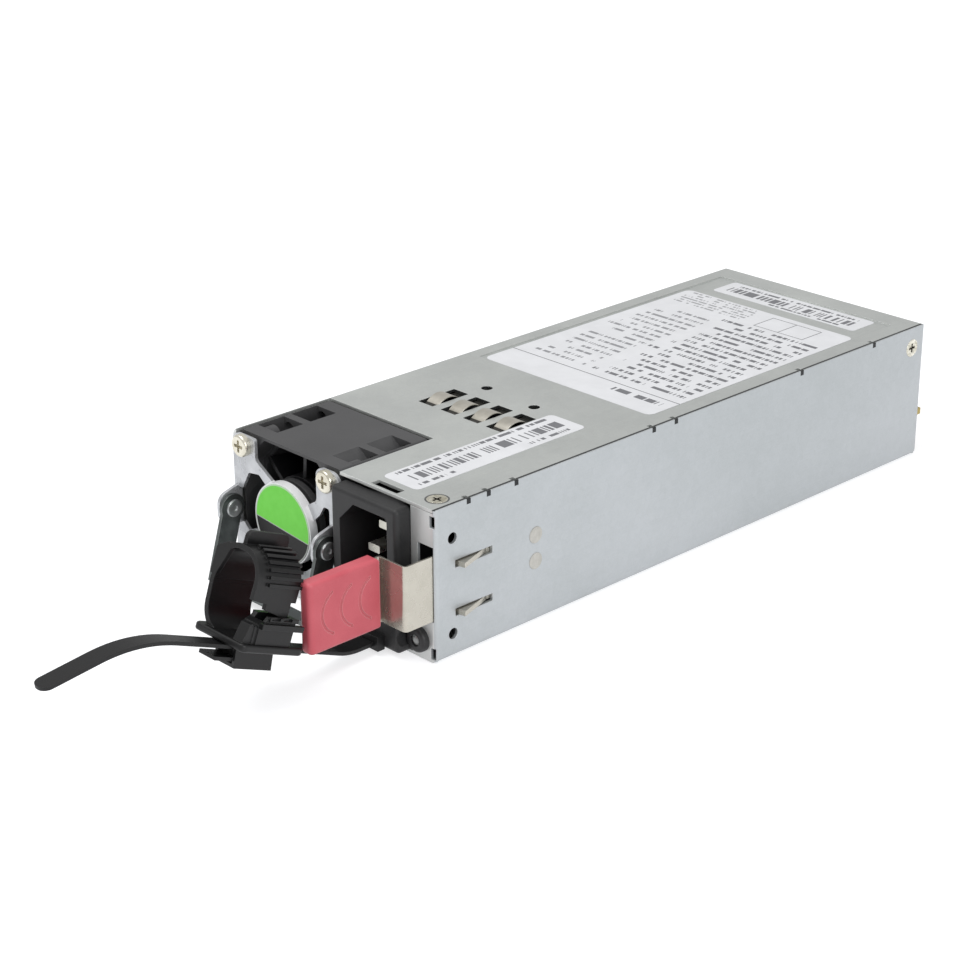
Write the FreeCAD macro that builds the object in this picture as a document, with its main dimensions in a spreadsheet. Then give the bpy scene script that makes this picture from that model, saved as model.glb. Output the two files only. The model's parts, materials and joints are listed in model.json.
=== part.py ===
"""Hot swap server power supply: galvanised case, fan, inlet, latch, bail and cord clamp.

Row frame in millimetres: X runs left to right seen from the front, Y runs from the
front (-Y) to the card edge (+Y), Z is up.  The origin is the middle of the case's
bottom face.  Every size sits in the sheet "Sizes" and the pieces are bound to it.
"""
import FreeCAD, Part
import math
import os

import Sketcher

doc = FreeCAD.newDocument("power_supply")
sheet = doc.addObject("Spreadsheet::Sheet", "Sizes")
pieces = []


# ---------------------------------------------------------------- sizes and bindings
class Size:
    """A number that also knows the sheet expression it comes from."""

    def __init__(self, text, value):
        self.text = text
        self.value = value

    def __add__(self, other):
        return joined(self, "+", other, number(self) + number(other))

    def __radd__(self, other):
        return joined(other, "+", self, number(other) + number(self))

    def __sub__(self, other):
        return joined(self, "-", other, number(self) - number(other))

    def __rsub__(self, other):
        return joined(other, "-", self, number(other) - number(self))

    def __mul__(self, other):
        return joined(self, "*", other, number(self) * number(other))

    def __rmul__(self, other):
        return joined(other, "*", self, number(other) * number(self))

    def __truediv__(self, other):
        return joined(self, "/", other, number(self) / number(other))

    def __rtruediv__(self, other):
        return joined(other, "/", self, number(other) / number(self))

    def __neg__(self):
        return joined(0, "-", self, -self.value)


def number(value):
    """The plain number behind a size."""
    return value.value if isinstance(value, Size) else float(value)


def words(value):
    """The expression text behind a size or a plain number."""
    return value.text if isinstance(value, Size) else "%.9g" % value


def joined(left, sign, right, value):
    """Two sizes joined by an arithmetic sign."""
    return Size("(%s %s %s)" % (words(left), sign, words(right)), value)


def sine(angle):
    """Sine of a size in degrees."""
    return Size("sin(%s * 1 deg)" % words(angle), math.sin(math.radians(number(angle))))


def cosine(angle):
    """Cosine of a size in degrees."""
    return Size("cos(%s * 1 deg)" % words(angle), math.cos(math.radians(number(angle))))


def tangent(angle):
    """Tangent of a size in degrees."""
    return sine(angle) / cosine(angle)


sheet_row = 0


def size(alias, value):
    """Write one driving dimension into the sheet and hand it back as a Size."""
    global sheet_row
    sheet_row += 1
    sheet.set("A%d" % sheet_row, alias)
    sheet.set("B%d" % sheet_row, str(value))
    sheet.setAlias("B%d" % sheet_row, alias)
    return Size("Sizes." + alias, float(value))


def bind(thing, prop, value):
    """Set a property, by expression when the value comes from the sheet."""
    if isinstance(value, Size):
        thing.setExpression(prop, value.text)
    elif prop.startswith(("Placement", "AttachmentOffset", "Constraints")):
        thing.setExpression(prop, words(value))
    else:
        setattr(thing, prop, value)


def put(thing, x=0, y=0, z=0):
    """Bind where an object's own origin goes."""
    for letter, value in zip("xyz", (x, y, z)):
        bind(thing, "Placement.Base." + letter, value)
    return thing


# ---------------------------------------------------------------- shape helpers
def named(kind, name):
    """A new document object with the given name."""
    return doc.addObject(kind, name)


def block(name, low, high):
    """A box between two corners, each given as (x, y, z)."""
    box = named("Part::Box", name)
    for prop, start, stop in zip(("Length", "Width", "Height"), low, high):
        bind(box, prop, stop - start)
    return put(box, *low)


TURNS = {
    "x": FreeCAD.Rotation(FreeCAD.Vector(0, 1, 0), 90),
    "y": FreeCAD.Rotation(FreeCAD.Vector(1, 0, 0), -90),
    "z": FreeCAD.Rotation(),
}


def rod(name, axis, start, radius, length):
    """A cylinder that starts at a point and runs along +x, +y or +z."""
    cylinder = named("Part::Cylinder", name)
    cylinder.Placement = FreeCAD.Placement(FreeCAD.Vector(), TURNS[axis])
    bind(cylinder, "Radius", radius)
    bind(cylinder, "Height", length)
    return put(cylinder, *start)


def cone(name, axis, start, radius, end_radius, length):
    """A cone that starts at a point and runs along +x, +y or +z."""
    taper = named("Part::Cone", name)
    taper.Placement = FreeCAD.Placement(FreeCAD.Vector(), TURNS[axis])
    bind(taper, "Radius1", radius)
    bind(taper, "Radius2", end_radius)
    bind(taper, "Height", length)
    return put(taper, *start)


def fused(name, *parts):
    """Several solids made one."""
    if len(parts) == 1:
        return parts[0]
    union = named("Part::MultiFuse", name)
    union.Shapes = list(parts)
    return union


def group(name, *parts):
    """Several separate solids kept in one piece of the assembly."""
    compound = named("Part::Compound", name)
    compound.Links = list(parts)
    return compound


def cut(name, base, *tools):
    """A solid with other solids taken away from it."""
    result = named("Part::Cut", name)
    result.Base = base
    result.Tool = fused(name + "_tools", *tools)
    return result


def common(name, first, second):
    """The part that two solids share."""
    result = named("Part::MultiCommon", name)
    result.Shapes = [first, second]
    return result


def corner_arc(before, corner, after, radius):
    """Start, stop, centre and sense of the arc that rounds one corner."""
    into = (before - corner).normalize()
    out = (after - corner).normalize()
    half = into.getAngle(out) / 2
    reach = radius / math.tan(half)
    centre = corner + (into + out).normalize() * (radius / math.sin(half))
    turns_left = (corner - before).cross(after - corner).z > 0
    return corner + into * reach, corner + out * reach, centre, turns_left


def place_point(item, position, across, up):
    """Rules that tie one point of a sketch to two distances from the origin."""
    return [("DistanceX", -1, 1, item, position, across), ("DistanceY", -1, 1, item, position, up)]


def constrain(sketch, rules):
    """Add all the rules of one outline at once and bind those that hold a size."""
    first = sketch.ConstraintCount
    plain = []
    for rule in rules:
        sized = rule[0] in ("DistanceX", "DistanceY", "Radius")
        values = rule[:-1] + (number(rule[-1]),) if sized else rule
        plain.append(Sketcher.Constraint(*values))
    sketch.addConstraint(plain)
    for index, rule in enumerate(rules):
        if isinstance(rule[-1], Size):
            sketch.setExpression("Constraints[%d]" % (first + index), rule[-1].text)


def draw_outline(sketch, points):
    """Draw a closed outline; a third value in a point rounds that corner."""
    corners = [FreeCAD.Vector(number(point[0]), number(point[1]), 0) for point in points]
    radii = [number(point[2]) if len(point) > 2 else 0 for point in points]
    count = len(points)
    starts, stops, arcs = [], [], {}
    for index in range(count):
        corner = corners[index]
        starts.append(corner)
        stops.append(corner)
        if radii[index] > 0:
            arc = corner_arc(corners[index - 1], corner, corners[(index + 1) % count], radii[index])
            starts[index], stops[index] = arc[0], arc[1]
            arcs[index] = arc
    lines = []
    for index in range(count):
        line = Part.LineSegment(stops[index], starts[(index + 1) % count])
        lines.append(sketch.addGeometry(line, False))
    rules = []
    for index, point in enumerate(points):
        before, after = lines[index - 1], lines[index]
        if index in arcs:
            rules += round_corner(sketch, arcs[index], corners[index], point, before, after)
        else:
            rules.append(("Coincident", before, 2, after, 1))
            rules += place_point(after, 1, point[0], point[1])
    constrain(sketch, rules)


def round_corner(sketch, arc, corner, point, before, after):
    """Add one rounding arc and give the rules that keep it tangent and in place."""
    start, stop, centre, turns_left = arc
    first, last = (start, stop) if turns_left else (stop, start)
    angles = [math.atan2(end.y - centre.y, end.x - centre.x) for end in (first, last)]
    if angles[1] < angles[0]:
        angles[1] += 2 * math.pi
    circle = Part.Circle(centre, FreeCAD.Vector(0, 0, 1), number(point[2]))
    curve = sketch.addGeometry(Part.ArcOfCircle(circle, angles[0], angles[1]), False)
    mark = sketch.addGeometry(Part.Point(corner), True)
    return place_point(mark, 1, point[0], point[1]) + [
        ("PointOnObject", mark, 1, before),
        ("PointOnObject", mark, 1, after),
        ("Tangent", curve, 1 if turns_left else 2, before, 2),
        ("Tangent", curve, 2 if turns_left else 1, after, 1),
        ("Radius", curve, point[2]),
    ]


def draw_circle(sketch, across, up, radius):
    """Draw one circle tied to its centre and radius."""
    centre = FreeCAD.Vector(number(across), number(up), 0)
    circle = sketch.addGeometry(Part.Circle(centre, FreeCAD.Vector(0, 0, 1), number(radius)), False)
    constrain(sketch, place_point(circle, 3, across, up) + [("Radius", circle, radius)])


def new_sketch(body, plane, height):
    """A sketch on one of a body's own origin planes, moved along its normal."""
    sketch = body.newObject("Sketcher::SketchObject", body.Name + "_sketch")
    roles = {feature.Role: feature for feature in body.Origin.OriginFeatures}
    sketch.AttachmentSupport = (roles[plane + "_Plane"], [""])
    sketch.MapMode = "FlatFace"
    bind(sketch, "AttachmentOffset.Base.z", -height if plane == "XZ" else height)
    return sketch


def prism(name, plane, start, stop, outline, circles=(), holes=()):
    """A padded body: an outline on a plane, carried from start to stop."""
    body = named("PartDesign::Body", name)
    sketch = new_sketch(body, plane, start)
    draw_outline(sketch, outline)
    for hole in holes:
        draw_outline(sketch, hole)
    for circle in circles:
        draw_circle(sketch, *circle)
    pad = body.newObject("PartDesign::Pad", name + "_pad")
    pad.Profile = sketch
    pad.Reversed = plane == "XZ"
    bind(pad, "Length", stop - start)
    sketch.Visibility = False
    return body


def tube(name, plane, start, stop, across, up, radius, bore=None):
    """A padded body with a round outline, bored through when a bore is given."""
    body = named("PartDesign::Body", name)
    sketch = new_sketch(body, plane, start)
    draw_circle(sketch, across, up, radius)
    if bore is not None:
        draw_circle(sketch, across, up, bore)
    pad = body.newObject("PartDesign::Pad", name + "_pad")
    pad.Profile = sketch
    pad.Reversed = plane == "XZ"
    bind(pad, "Length", stop - start)
    return body


def turned(name, outline):
    """A revolved body: radius and height pairs turned about its own Z axis."""
    body = named("PartDesign::Body", name)
    sketch = new_sketch(body, "XZ", 0)
    draw_outline(sketch, outline)
    turn = body.newObject("PartDesign::Revolution", name + "_turn")
    turn.Profile = sketch
    turn.ReferenceAxis = (sketch, ["V_Axis"])
    turn.Angle = 360
    return body


def soften(body, radius, chosen):
    """Fillet the edges of a body that a test picks."""
    doc.recompute()
    base = body.Tip
    edges = ["Edge%d" % (i + 1) for i, edge in enumerate(base.Shape.Edges) if chosen(edge)]
    fillet = body.newObject("PartDesign::Fillet", body.Name + "_fillet")
    fillet.Base = (base, edges)
    bind(fillet, "Radius", radius)
    body.Tip = fillet
    return body


def runs_along(axis):
    """A test for straight edges that run along x, y or z."""
    index = "xyz".index(axis)

    def chosen(edge):
        if edge.Curve.TypeId != "Part::GeomLine":
            return False
        return abs(edge.tangentAt(edge.FirstParameter)[index]) > 0.999
    return chosen


def turn_to(thing, axis):
    """Turn an object's own Z axis to +x, +y or +z."""
    thing.Placement = FreeCAD.Placement(FreeCAD.Vector(), TURNS[axis])
    return thing


def keep(label, thing):
    """Label a finished sub-part and put it on the list to write."""
    thing.Label = label
    pieces.append(thing)
    return thing


# ---------------------------------------------------------------- driving dimensions
case_width = size("case_width", 73.5)
case_height = size("case_height", 39)
case_length = size("case_length", 185)
sheet_thick = size("sheet_thick", 0.8)
bend_radius = size("bend_radius", 1.8)
seam_gap = size("seam_gap", 0.12)
slide_gap = size("slide_gap", 0.3)
lip_height = size("lip_height", 7)

fan_size = size("fan_size", 38)
fan_depth = size("fan_depth", 28)
fan_left_gap = size("fan_left_gap", 1.3)
fan_bore_radius = size("fan_bore_radius", 18.2)
fan_hole_pitch = size("fan_hole_pitch", 32)
fan_hub_radius = size("fan_hub_radius", 10.6)
blade_tip_gap = size("blade_tip_gap", 0.5)

inlet_left = size("inlet_left", 5.2)
inlet_width = size("inlet_width", 23.2)
inlet_flange_depth = size("inlet_flange_depth", 4.4)
inlet_opening_width = size("inlet_opening_width", 16.7)
inlet_opening_height = size("inlet_opening_height", 24.4)
inlet_opening_floor = size("inlet_opening_floor", 10.4)
inlet_depth = size("inlet_depth", 18.5)
inlet_wall = size("inlet_wall", 1.6)

board_height = size("board_height", 9)
board_thick = size("board_thick", 1.6)
card_edge_length = size("card_edge_length", 8.6)
card_edge_width = size("card_edge_width", 64.4)

bail_pivot_ahead = size("bail_pivot_ahead", 3.9)
bail_pivot_height = size("bail_pivot_height", 19.4)
bail_length = size("bail_length", 19)
bail_width = size("bail_width", 6)
bail_thick = size("bail_thick", 1)
bail_lean = size("bail_lean", 16.5)
bail_eye_radius = size("bail_eye_radius", 3.6)

latch_thick = size("latch_thick", 0.5)
latch_height = size("latch_height", 16.5)
latch_floor = size("latch_floor", 10.9)
latch_hinge_back = size("latch_hinge_back", 29)
barb_reach = size("barb_reach", 2.2)
tab_thick = size("tab_thick", 4)
tab_length = size("tab_length", 20.8)
tab_height = size("tab_height", 17.9)

strap_centre = size("strap_centre", 19.6)
strap_width = size("strap_width", 5)
strap_thick = size("strap_thick", 0.9)
strap_tilt = size("strap_tilt", 22.5)
clamp_ahead = size("clamp_ahead", 41.7)
clamp_height = size("clamp_height", 13.85)

half = case_width / 2
front = -case_length / 2
back = case_length / 2
fan_x = -half + sheet_thick + fan_left_gap + fan_size / 2
fan_z = sheet_thick + fan_size / 2 + 0.05
inlet_right = inlet_left + inlet_width
right_inside = half - sheet_thick
tray_left = -half + sheet_thick + seam_gap


# ---------------------------------------------------------------- case
SLOT_HEIGHTS = (23.9, 11.5)
slot_tall = size("slot_tall", 1.9)
slot_start = size("slot_start", 6.2)
slot_stop = size("slot_stop", 18.2)


def chassis_tray():
    """Bottom, right wall, front flange and rear wall, folded from one sheet."""
    top = case_height
    profile = [
        (tray_left, 0, bend_radius), (half, 0, bend_radius), (half, top),
        (half - sheet_thick, top), (half - sheet_thick, sheet_thick, bend_radius - sheet_thick),
        (tray_left + sheet_thick, sheet_thick, bend_radius - sheet_thick),
        (tray_left + sheet_thick, lip_height), (tray_left, lip_height),
    ]
    shell = prism("tray_shell", "XZ", front, back, profile)
    rear = prism(
        "tray_rear", "XZ", back - sheet_thick, back,
        [(tray_left, sheet_thick / 2), (half - sheet_thick / 2, sheet_thick / 2),
         (half - sheet_thick / 2, case_height - sheet_thick - seam_gap),
         (tray_left, case_height - sheet_thick - seam_gap, bend_radius)],
        holes=[card_slot()],
    )
    cut_rear_vents(rear)
    flange = prism(
        "tray_flange", "XZ", front, front + sheet_thick,
        [(inlet_right + seam_gap, sheet_thick / 2), (half - sheet_thick / 2, sheet_thick / 2),
         (half - sheet_thick / 2, case_height - sheet_thick - seam_gap),
         (inlet_right + seam_gap, case_height - sheet_thick - seam_gap)],
        circles=[(led_x, led_z, led_radius - 0.7)],
        holes=[latch_window()],
    )
    slots = [
        block("latch_slot", (half - 2, front + slot_start, height - slot_tall / 2),
              (half + 1, front + slot_stop, height + slot_tall / 2))
        for height in SLOT_HEIGHTS
    ]
    holes = [
        rod("side_hole", "x", (half - 2, front + 5.4, height), 1.4, 3) for height in (30.7, 6.3)
    ]
    weld_holes = [
        rod("weld_hole", "x", (half - 2, hinge_y + foot_long / 2, height), weld_radius, 3)
        for height in (weld_low, weld_high)
    ]
    screw_hole = rod("side_screw_hole", "x", (half - 2, side_screw_y, side_screw_z), screw_clear, 3)
    sink = cone("side_screw_sink", "x", (half - sheet_thick, side_screw_y, side_screw_z),
                screw_clear, screw_sink, sheet_thick + 0.01)
    tray = fused("tray_sheet", shell, rear, flange)
    reliefs = [
        block("bend_relief", (half - 1.9, front - 1, height),
              (half - 0.45, front + sheet_thick + 0.1, height + relief_tall))
        for height in (relief_low, case_height - relief_drop)
    ]
    keep("chassis_tray", cut("chassis_tray", tray, screw_hole, sink, outer_corner(), *slots, *holes,
                             *weld_holes, *reliefs))


relief_tall = size("relief_tall", 2.9)
relief_low = size("relief_low", 0.9)
relief_drop = size("relief_drop", 4.6)
corner_round = size("corner_round", 1.2)


def outer_corner():
    """What the press brake leaves off the upright corner between wall and flange."""
    corner = block("corner_block", (half - corner_round, front - 1, -1),
                   (half + 1, front + corner_round, case_height + 1))
    core = rod("corner_core", "z", (half - corner_round, front + corner_round, -2), corner_round,
               case_height + 4)
    return cut("outer_corner", corner, core)


def cut_rear_vents(rear):
    """Cut a row of upright slots in the rear wall above the card edge."""
    sketch = new_sketch(rear, "XZ", back)
    left = -half + vent_margin
    draw_outline(sketch, [
        (left, vent_floor, 1), (left + vent_wide, vent_floor, 1),
        (left + vent_wide, vent_top, 1), (left, vent_top, 1),
    ])
    vent = rear.newObject("PartDesign::Pocket", "rear_vent")
    vent.Profile = sketch
    vent.Reversed = True
    bind(vent, "Length", sheet_thick * 2)
    repeat = rear.newObject("PartDesign::LinearPattern", "rear_vents")
    repeat.Originals = [vent]
    roles = {feature.Role: feature for feature in rear.Origin.OriginFeatures}
    repeat.Direction = (roles["X_Axis"], [""])
    bind(repeat, "Length", vent_pitch * (VENT_COUNT - 1))
    repeat.Occurrences = VENT_COUNT
    rear.Tip = repeat


def card_slot():
    """The slot in the rear wall that the card edge comes out of."""
    reach = card_edge_width / 2 + 0.6
    low = board_height - 0.8
    high = board_height + board_thick + 0.8
    return [(-reach, low), (reach, low), (reach, high), (-reach, high)]


def latch_window():
    """The opening in the front flange that the latch spring comes out of."""
    low = latch_floor - slide_gap
    high = latch_floor + latch_height + latch_headroom
    left = right_inside - latch_swing_room
    return [(left, low), (right_inside - 0.01, low), (right_inside - 0.01, high), (left, high)]


VENT_COUNT = 14
latch_headroom = size("latch_headroom", 2.2)
latch_swing_room = size("latch_swing_room", 5.2)
vent_margin = size("vent_margin", 5.5)
vent_pitch = size("vent_pitch", 4.6)
vent_wide = size("vent_wide", 3)
vent_floor = size("vent_floor", 15)
vent_top = size("vent_top", 34)
led_x = size("led_x", 31.2)
led_z = size("led_z", 5)
led_radius = size("led_radius", 3.2)
screw_clear = size("screw_clear", 1.3)
screw_sink = size("screw_sink", 2.6)
side_screw_y = back - size("side_screw_inset", 4.8)
side_screw_z = case_height - size("side_screw_drop", 5.8)
top_screw_x = half - size("top_screw_inset", 4.9)
top_screw_y = front + size("top_screw_back", 5.3)
fan_cut_right = fan_x + fan_size / 2 + size("fan_cut_gap", 0.5)
fan_cut_back = front + fan_depth + size("fan_cut_depth_gap", 2.1)
recess_depth = size("recess_depth", 0.35)

window_left = size("window_left", 14)
window_wide = size("window_wide", 9)
window_lip = size("window_lip", 0.8)
window_long = size("window_long", 2.6)
rivet_left = size("rivet_left", -12.1)
rivet_pitch = size("rivet_pitch", 18.2)
rivet_back = size("rivet_back", 63.6)
rivet_radius = size("rivet_radius", 1.5)
recess_wide = size("recess_wide", 62)
recess_start = size("recess_start", 79)
recess_stop = size("recess_stop", 178)
SEAM_NOTCHES = (10, 16.4, 25.4, 73.2, 81.4, 131, 162)
notch_long = size("notch_long", 1.4)
notch_deep = size("notch_deep", 1.3)

FINGER_COUNT = 4
finger_pitch = size("finger_pitch", 8.2)
finger_wide = size("finger_wide", 5.4)
finger_long = size("finger_long", 12.6)
finger_left = size("finger_left", -17.6)
finger_back = size("finger_back", 44.6)


def top_cover():
    """Top and left wall, folded from one sheet with a round bend."""
    top = case_height
    profile = [
        (-half, 0), (-half, top, bend_radius + 0.4), (right_inside - seam_gap, top),
        (right_inside - seam_gap, top - sheet_thick),
        (-half + sheet_thick, top - sheet_thick, bend_radius + 0.4 - sheet_thick),
        (-half + sheet_thick, 0),
    ]
    shell = prism("cover_shell", "XZ", front, back, profile)
    above = top + 1
    below = top - 3
    tools = [
        block("fan_cutout", (-half + sheet_thick + 0.4, front - 1, below),
              (fan_cut_right, fan_cut_back, above)),
        block("front_window", (window_left, front + window_lip, below),
              (window_left + window_wide, front + window_lip + window_long, above)),
        rod("rivet_hole", "z", (rivet_left, front + rivet_back, below), rivet_radius, 5),
        rod("rivet_hole", "z", (rivet_left + rivet_pitch, front + rivet_back - 1, below), rivet_radius, 5),
        block("label_recess", (-recess_wide / 2, front + recess_start, top - recess_depth),
              (recess_wide / 2, front + recess_stop, above)),
        rod("cover_screw_hole", "z", (top_screw_x, top_screw_y, below), screw_clear, 5),
        cone("cover_screw_sink", "z", (top_screw_x, top_screw_y, top - sheet_thick),
             screw_clear, screw_sink, sheet_thick + 0.01),
    ]
    for index in range(FINGER_COUNT):
        left = finger_left + finger_pitch * index
        tools.append(block("finger_slot", (left, front + finger_back, below),
                           (left + finger_wide, front + finger_back + finger_long, above)))
    for place in SEAM_NOTCHES:
        tools.append(block("seam_notch", (right_inside - notch_deep, front + place, below),
                           (half + 1, front + place + notch_long, above)))
    keep("top_cover", cut("top_cover", shell, *tools))


# ---------------------------------------------------------------- fasteners
screw_head_thick = size("screw_head_thick", 0.75)
screw_long = size("screw_long", 5)
screw_shank = size("screw_shank", 1.25)


def cross_recess(name, reach, depth, top):
    """The cross that a screwdriver turns, sunk below a height."""
    arm = reach / 4
    flat = block(name + "_a", (-reach, -arm, top - depth), (reach, arm, top + 1))
    tall = block(name + "_b", (-arm, -reach, top - depth), (arm, reach, top + 1))
    return fused(name, flat, tall)


def sunk_screw(name):
    """A countersunk screw standing on its own Z axis, its head flush at zero."""
    blank = turned(name + "_blank", [
        (0, -screw_long), (screw_shank, -screw_long), (screw_shank, -screw_head_thick),
        (screw_sink - 0.1, -0.05), (screw_sink - 0.1, 0), (0, 0),
    ])
    return cut(name, blank, cross_recess(name + "_cross", 1.3, 0.45, 0))


def cover_screws():
    """The two countersunk screws that hold cover and tray together."""
    upright = put(sunk_screw("cover_screw_top"), top_screw_x, top_screw_y, case_height)
    sideways = turn_to(sunk_screw("cover_screw_side"), "x")
    put(sideways, half, side_screw_y, side_screw_z)
    keep("cover_screws", group("cover_screws", upright, sideways))


fan_screw_head = size("fan_screw_head", 2.9)
fan_screw_rise = size("fan_screw_rise", 1.7)
fan_screw_shank = size("fan_screw_shank", 1.9)
fan_screw_hole = size("fan_screw_hole", 2.0)


def fan_corners():
    """Centres of the four fan screws."""
    reach = fan_hole_pitch / 2
    return [(fan_x + side * reach, fan_z + rise * reach) for side in (-1, 1) for rise in (-1, 1)]


def fan_screws():
    """Four pan-head screws through the guard into the fan's corners."""
    screws = []
    for across, up in fan_corners():
        blank = turned("fan_screw_blank", [
            (0, -9), (fan_screw_shank, -9), (fan_screw_shank, 0), (fan_screw_head, 0),
            (fan_screw_head, fan_screw_rise, 0.7), (0, fan_screw_rise),
        ])
        screw = cut("fan_screw", blank, cross_recess("fan_screw_cross", 1.6, 0.9, fan_screw_rise))
        screw.Placement = FreeCAD.Placement(FreeCAD.Vector(), FreeCAD.Rotation(FreeCAD.Vector(1, 0, 0), 90))
        screws.append(put(screw, across, front - guard_thick, up))
    keep("fan_screws", group("fan_screws", *screws))


# ---------------------------------------------------------------- fan guard
guard_thick = size("guard_thick", 0.9)
guard_side = size("guard_side", 4.2)
guard_rise = size("guard_rise", 2.5)
pad_side = size("pad_side", 4.4)
left_pad_drop = size("left_pad_drop", 3)
right_pad_drop = size("right_pad_drop", 6.6)
hub_disc_radius = size("hub_disc_radius", 10.6)
hub_disc_proud = size("hub_disc_proud", 1.4)
arc_slot_wide = size("arc_slot_wide", 2.1)
stem_wide = size("stem_wide", 4)
ear_thick = size("ear_thick", 0.9)


def fan_guard():
    """Die-cut zinc plate: screw pads, leaning spokes, a hub disc and two pivot ears."""
    face = front - guard_thick
    reach = fan_hole_pitch / 2
    left = fan_x - reach
    right = fan_x + reach
    low = fan_z - reach - guard_rise - 0.4
    high = fan_z + reach
    sheet_metal = prism("guard_sheet", "XZ", face, front, [
        (left - guard_side, low, 1.5), (right + guard_side, low, 1.5),
        (right + guard_side, high + guard_rise, 3), (right - pad_side, high + guard_rise, 2.5),
        (right - pad_side, high - right_pad_drop, 1.5), (fan_x + 7, fan_z + 6.6),
        (fan_x - 4.2, fan_z + 8.6), (left + pad_side, high - left_pad_drop, 1.5),
        (left + pad_side, high + guard_rise, 0.8), (left - guard_side, high + guard_rise, 2.2),
    ], holes=[left_opening(left), right_opening(right)])
    ring = rod("arc_slot_ring", "y", (fan_x, face - 1, fan_z), hub_disc_radius + arc_slot_wide, 4)
    below_hub = block("arc_slot_side", (fan_x - 8, face - 2, fan_z - 16),
                      (fan_x + 9.3, front + 2, fan_z - 6.4))
    opened = cut("guard_opened", sheet_metal, common("arc_slot", ring, below_hub))
    hub = tube("guard_hub", "XZ", face - hub_disc_proud, front, fan_x, fan_z, hub_disc_radius)
    ears = [pivot_ear("ear_left", left_ear_x), pivot_ear("ear_right", right_ear_x)]
    bores = [
        rod("guard_hole", "y", (across, face - 1, up), fan_screw_hole, 4) for across, up in fan_corners()
    ]
    for x in (left_ear_x, right_ear_x):
        arm = x + ear_thick + 0.15
        bores.append(rod("pivot_hole", "x", (x - 1, pivot_y, pivot_z), bail_pin_radius, ear_thick + 2))
        bores.append(block("eye_room", (arm - slide_gap / 2, face - 1, pivot_z - bail_eye_radius - 1),
                           (arm + bail_thick + 2.2, front + 1, pivot_z + bail_eye_radius + 1)))
    keep("fan_guard", cut("fan_guard", fused("guard_plate", opened, hub, *ears), *bores))


def left_opening(left):
    """The air opening between the hub and the left stem, as points in X and Z."""
    stem = left - guard_side + stem_wide - 1
    return [
        (fan_x - 14.4, fan_z + 9, 1), (fan_x - 10.4, fan_z + 9.6, 1), (fan_x - 7, fan_z + 7),
        (fan_x - 8, fan_z - 5.6), (fan_x - 12.8, fan_z - 5.6, 0.8), (fan_x - 15.2, fan_z - 6.8, 0.8),
        (stem - 0.6, fan_z - 4.4, 0.8), (stem, fan_z + 4, 1.5),
    ]


def right_opening(right):
    """The air opening between the hub and the right stem, as points in X and Z."""
    stem = right + guard_side - stem_wide
    return [
        (fan_x + 9.4, fan_z + 3), (fan_x + 12.6, fan_z + 6, 1), (fan_x + 14.2, fan_z + 8.6, 0.8),
        (stem, fan_z + 8.6, 0.6), (stem, fan_z - 3, 1), (fan_x + 12.9, fan_z - 3.6, 1),
        (fan_x + 9.8, fan_z - 1.5),
    ]


bail_pin_radius = size("bail_pin_radius", 1.25)
bail_bore_gap = size("bail_bore_gap", 0.06)
pivot_y = front - bail_pivot_ahead
pivot_z = bail_pivot_height
left_ear_x = fan_x - fan_hole_pitch / 2 - 3.4
right_ear_x = fan_x + fan_hole_pitch / 2 + 0.5


def pivot_ear(name, x):
    """A lug bent forward from the guard that carries one bail rivet."""
    return prism(name, "YZ", x, x + ear_thick, [
        (front, pivot_z - 5.5), (pivot_y - 3.4, pivot_z - 3.4, 3), (pivot_y - 3.4, pivot_z + 3.4, 3),
        (front, pivot_z + 5.5),
    ])


# ---------------------------------------------------------------- carrying handle
def handle_bail():
    """Flat steel strip bent to a U that hangs from the guard's two ears."""
    side = bail_width / 2
    inner = ear_thick + 0.15
    span_left = left_ear_x + inner
    span_right = right_ear_x + inner + bail_thick
    eye = bail_eye_radius
    bottom = -bail_length
    arms = []
    for x in (span_left, span_right - bail_thick):
        blade = prism("bail_arm", "YZ", x, x + bail_thick,
                      [(-side, bottom), (side, bottom), (side, -2), (-side, -2)])
        disc = tube("bail_eye", "YZ", x, x + bail_thick, 0, 0, eye)
        arms.append(fused("bail_side", blade, disc))
    bar = prism("bail_bar", "XY", bottom, bottom + bail_thick,
                [(span_left, -side), (span_right, -side), (span_right, side), (span_left, side)])
    bore = rod("bail_bore", "x", (span_left - 3, 0, 0), bail_pin_radius + bail_bore_gap,
               span_right - span_left + 6)
    bail = cut("handle_bail", fused("bail_strip", bar, *arms), bore)
    bail.Placement = FreeCAD.Placement(FreeCAD.Vector(), FreeCAD.Rotation(FreeCAD.Vector(1, 0, 0), 0))
    bail.setExpression("Placement.Rotation.Angle", "-" + bail_lean.text)
    keep("handle_bail", put(bail, 0, pivot_y, pivot_z))


def handle_rivets():
    """Two rivets: a head inside the bail's arm, a pin through arm and ear."""
    rivets = []
    for x in (left_ear_x, right_ear_x):
        arm_face = x + ear_thick + 0.15 + bail_thick + 0.1
        rivet = turned("handle_rivet", [
            (0, 0), (bail_pin_radius, 0), (bail_pin_radius, arm_face - x), (2.3, arm_face - x),
            (2.3, arm_face - x + 0.7, 0.4), (0.8, arm_face - x + 0.7), (0.8, arm_face - x + 0.3),
            (0, arm_face - x + 0.3),
        ])
        turn_to(rivet, "x")
        rivets.append(put(rivet, x, pivot_y, pivot_z))
    keep("handle_rivets", group("handle_rivets", *rivets))


# ---------------------------------------------------------------- fan
fan_front = front + size("fan_setback", 0.9)
motor_thick = size("motor_thick", 2.6)
bearing_radius = size("bearing_radius", 2.6)
shaft_radius = size("shaft_radius", 1.0)
shaft_gap = size("shaft_gap", 0.04)
rotor_gap = size("rotor_gap", 0.4)
hub_end_thick = size("hub_end_thick", 1.6)
STRUT_ANGLES = (20, 110, 200, 290)


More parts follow.
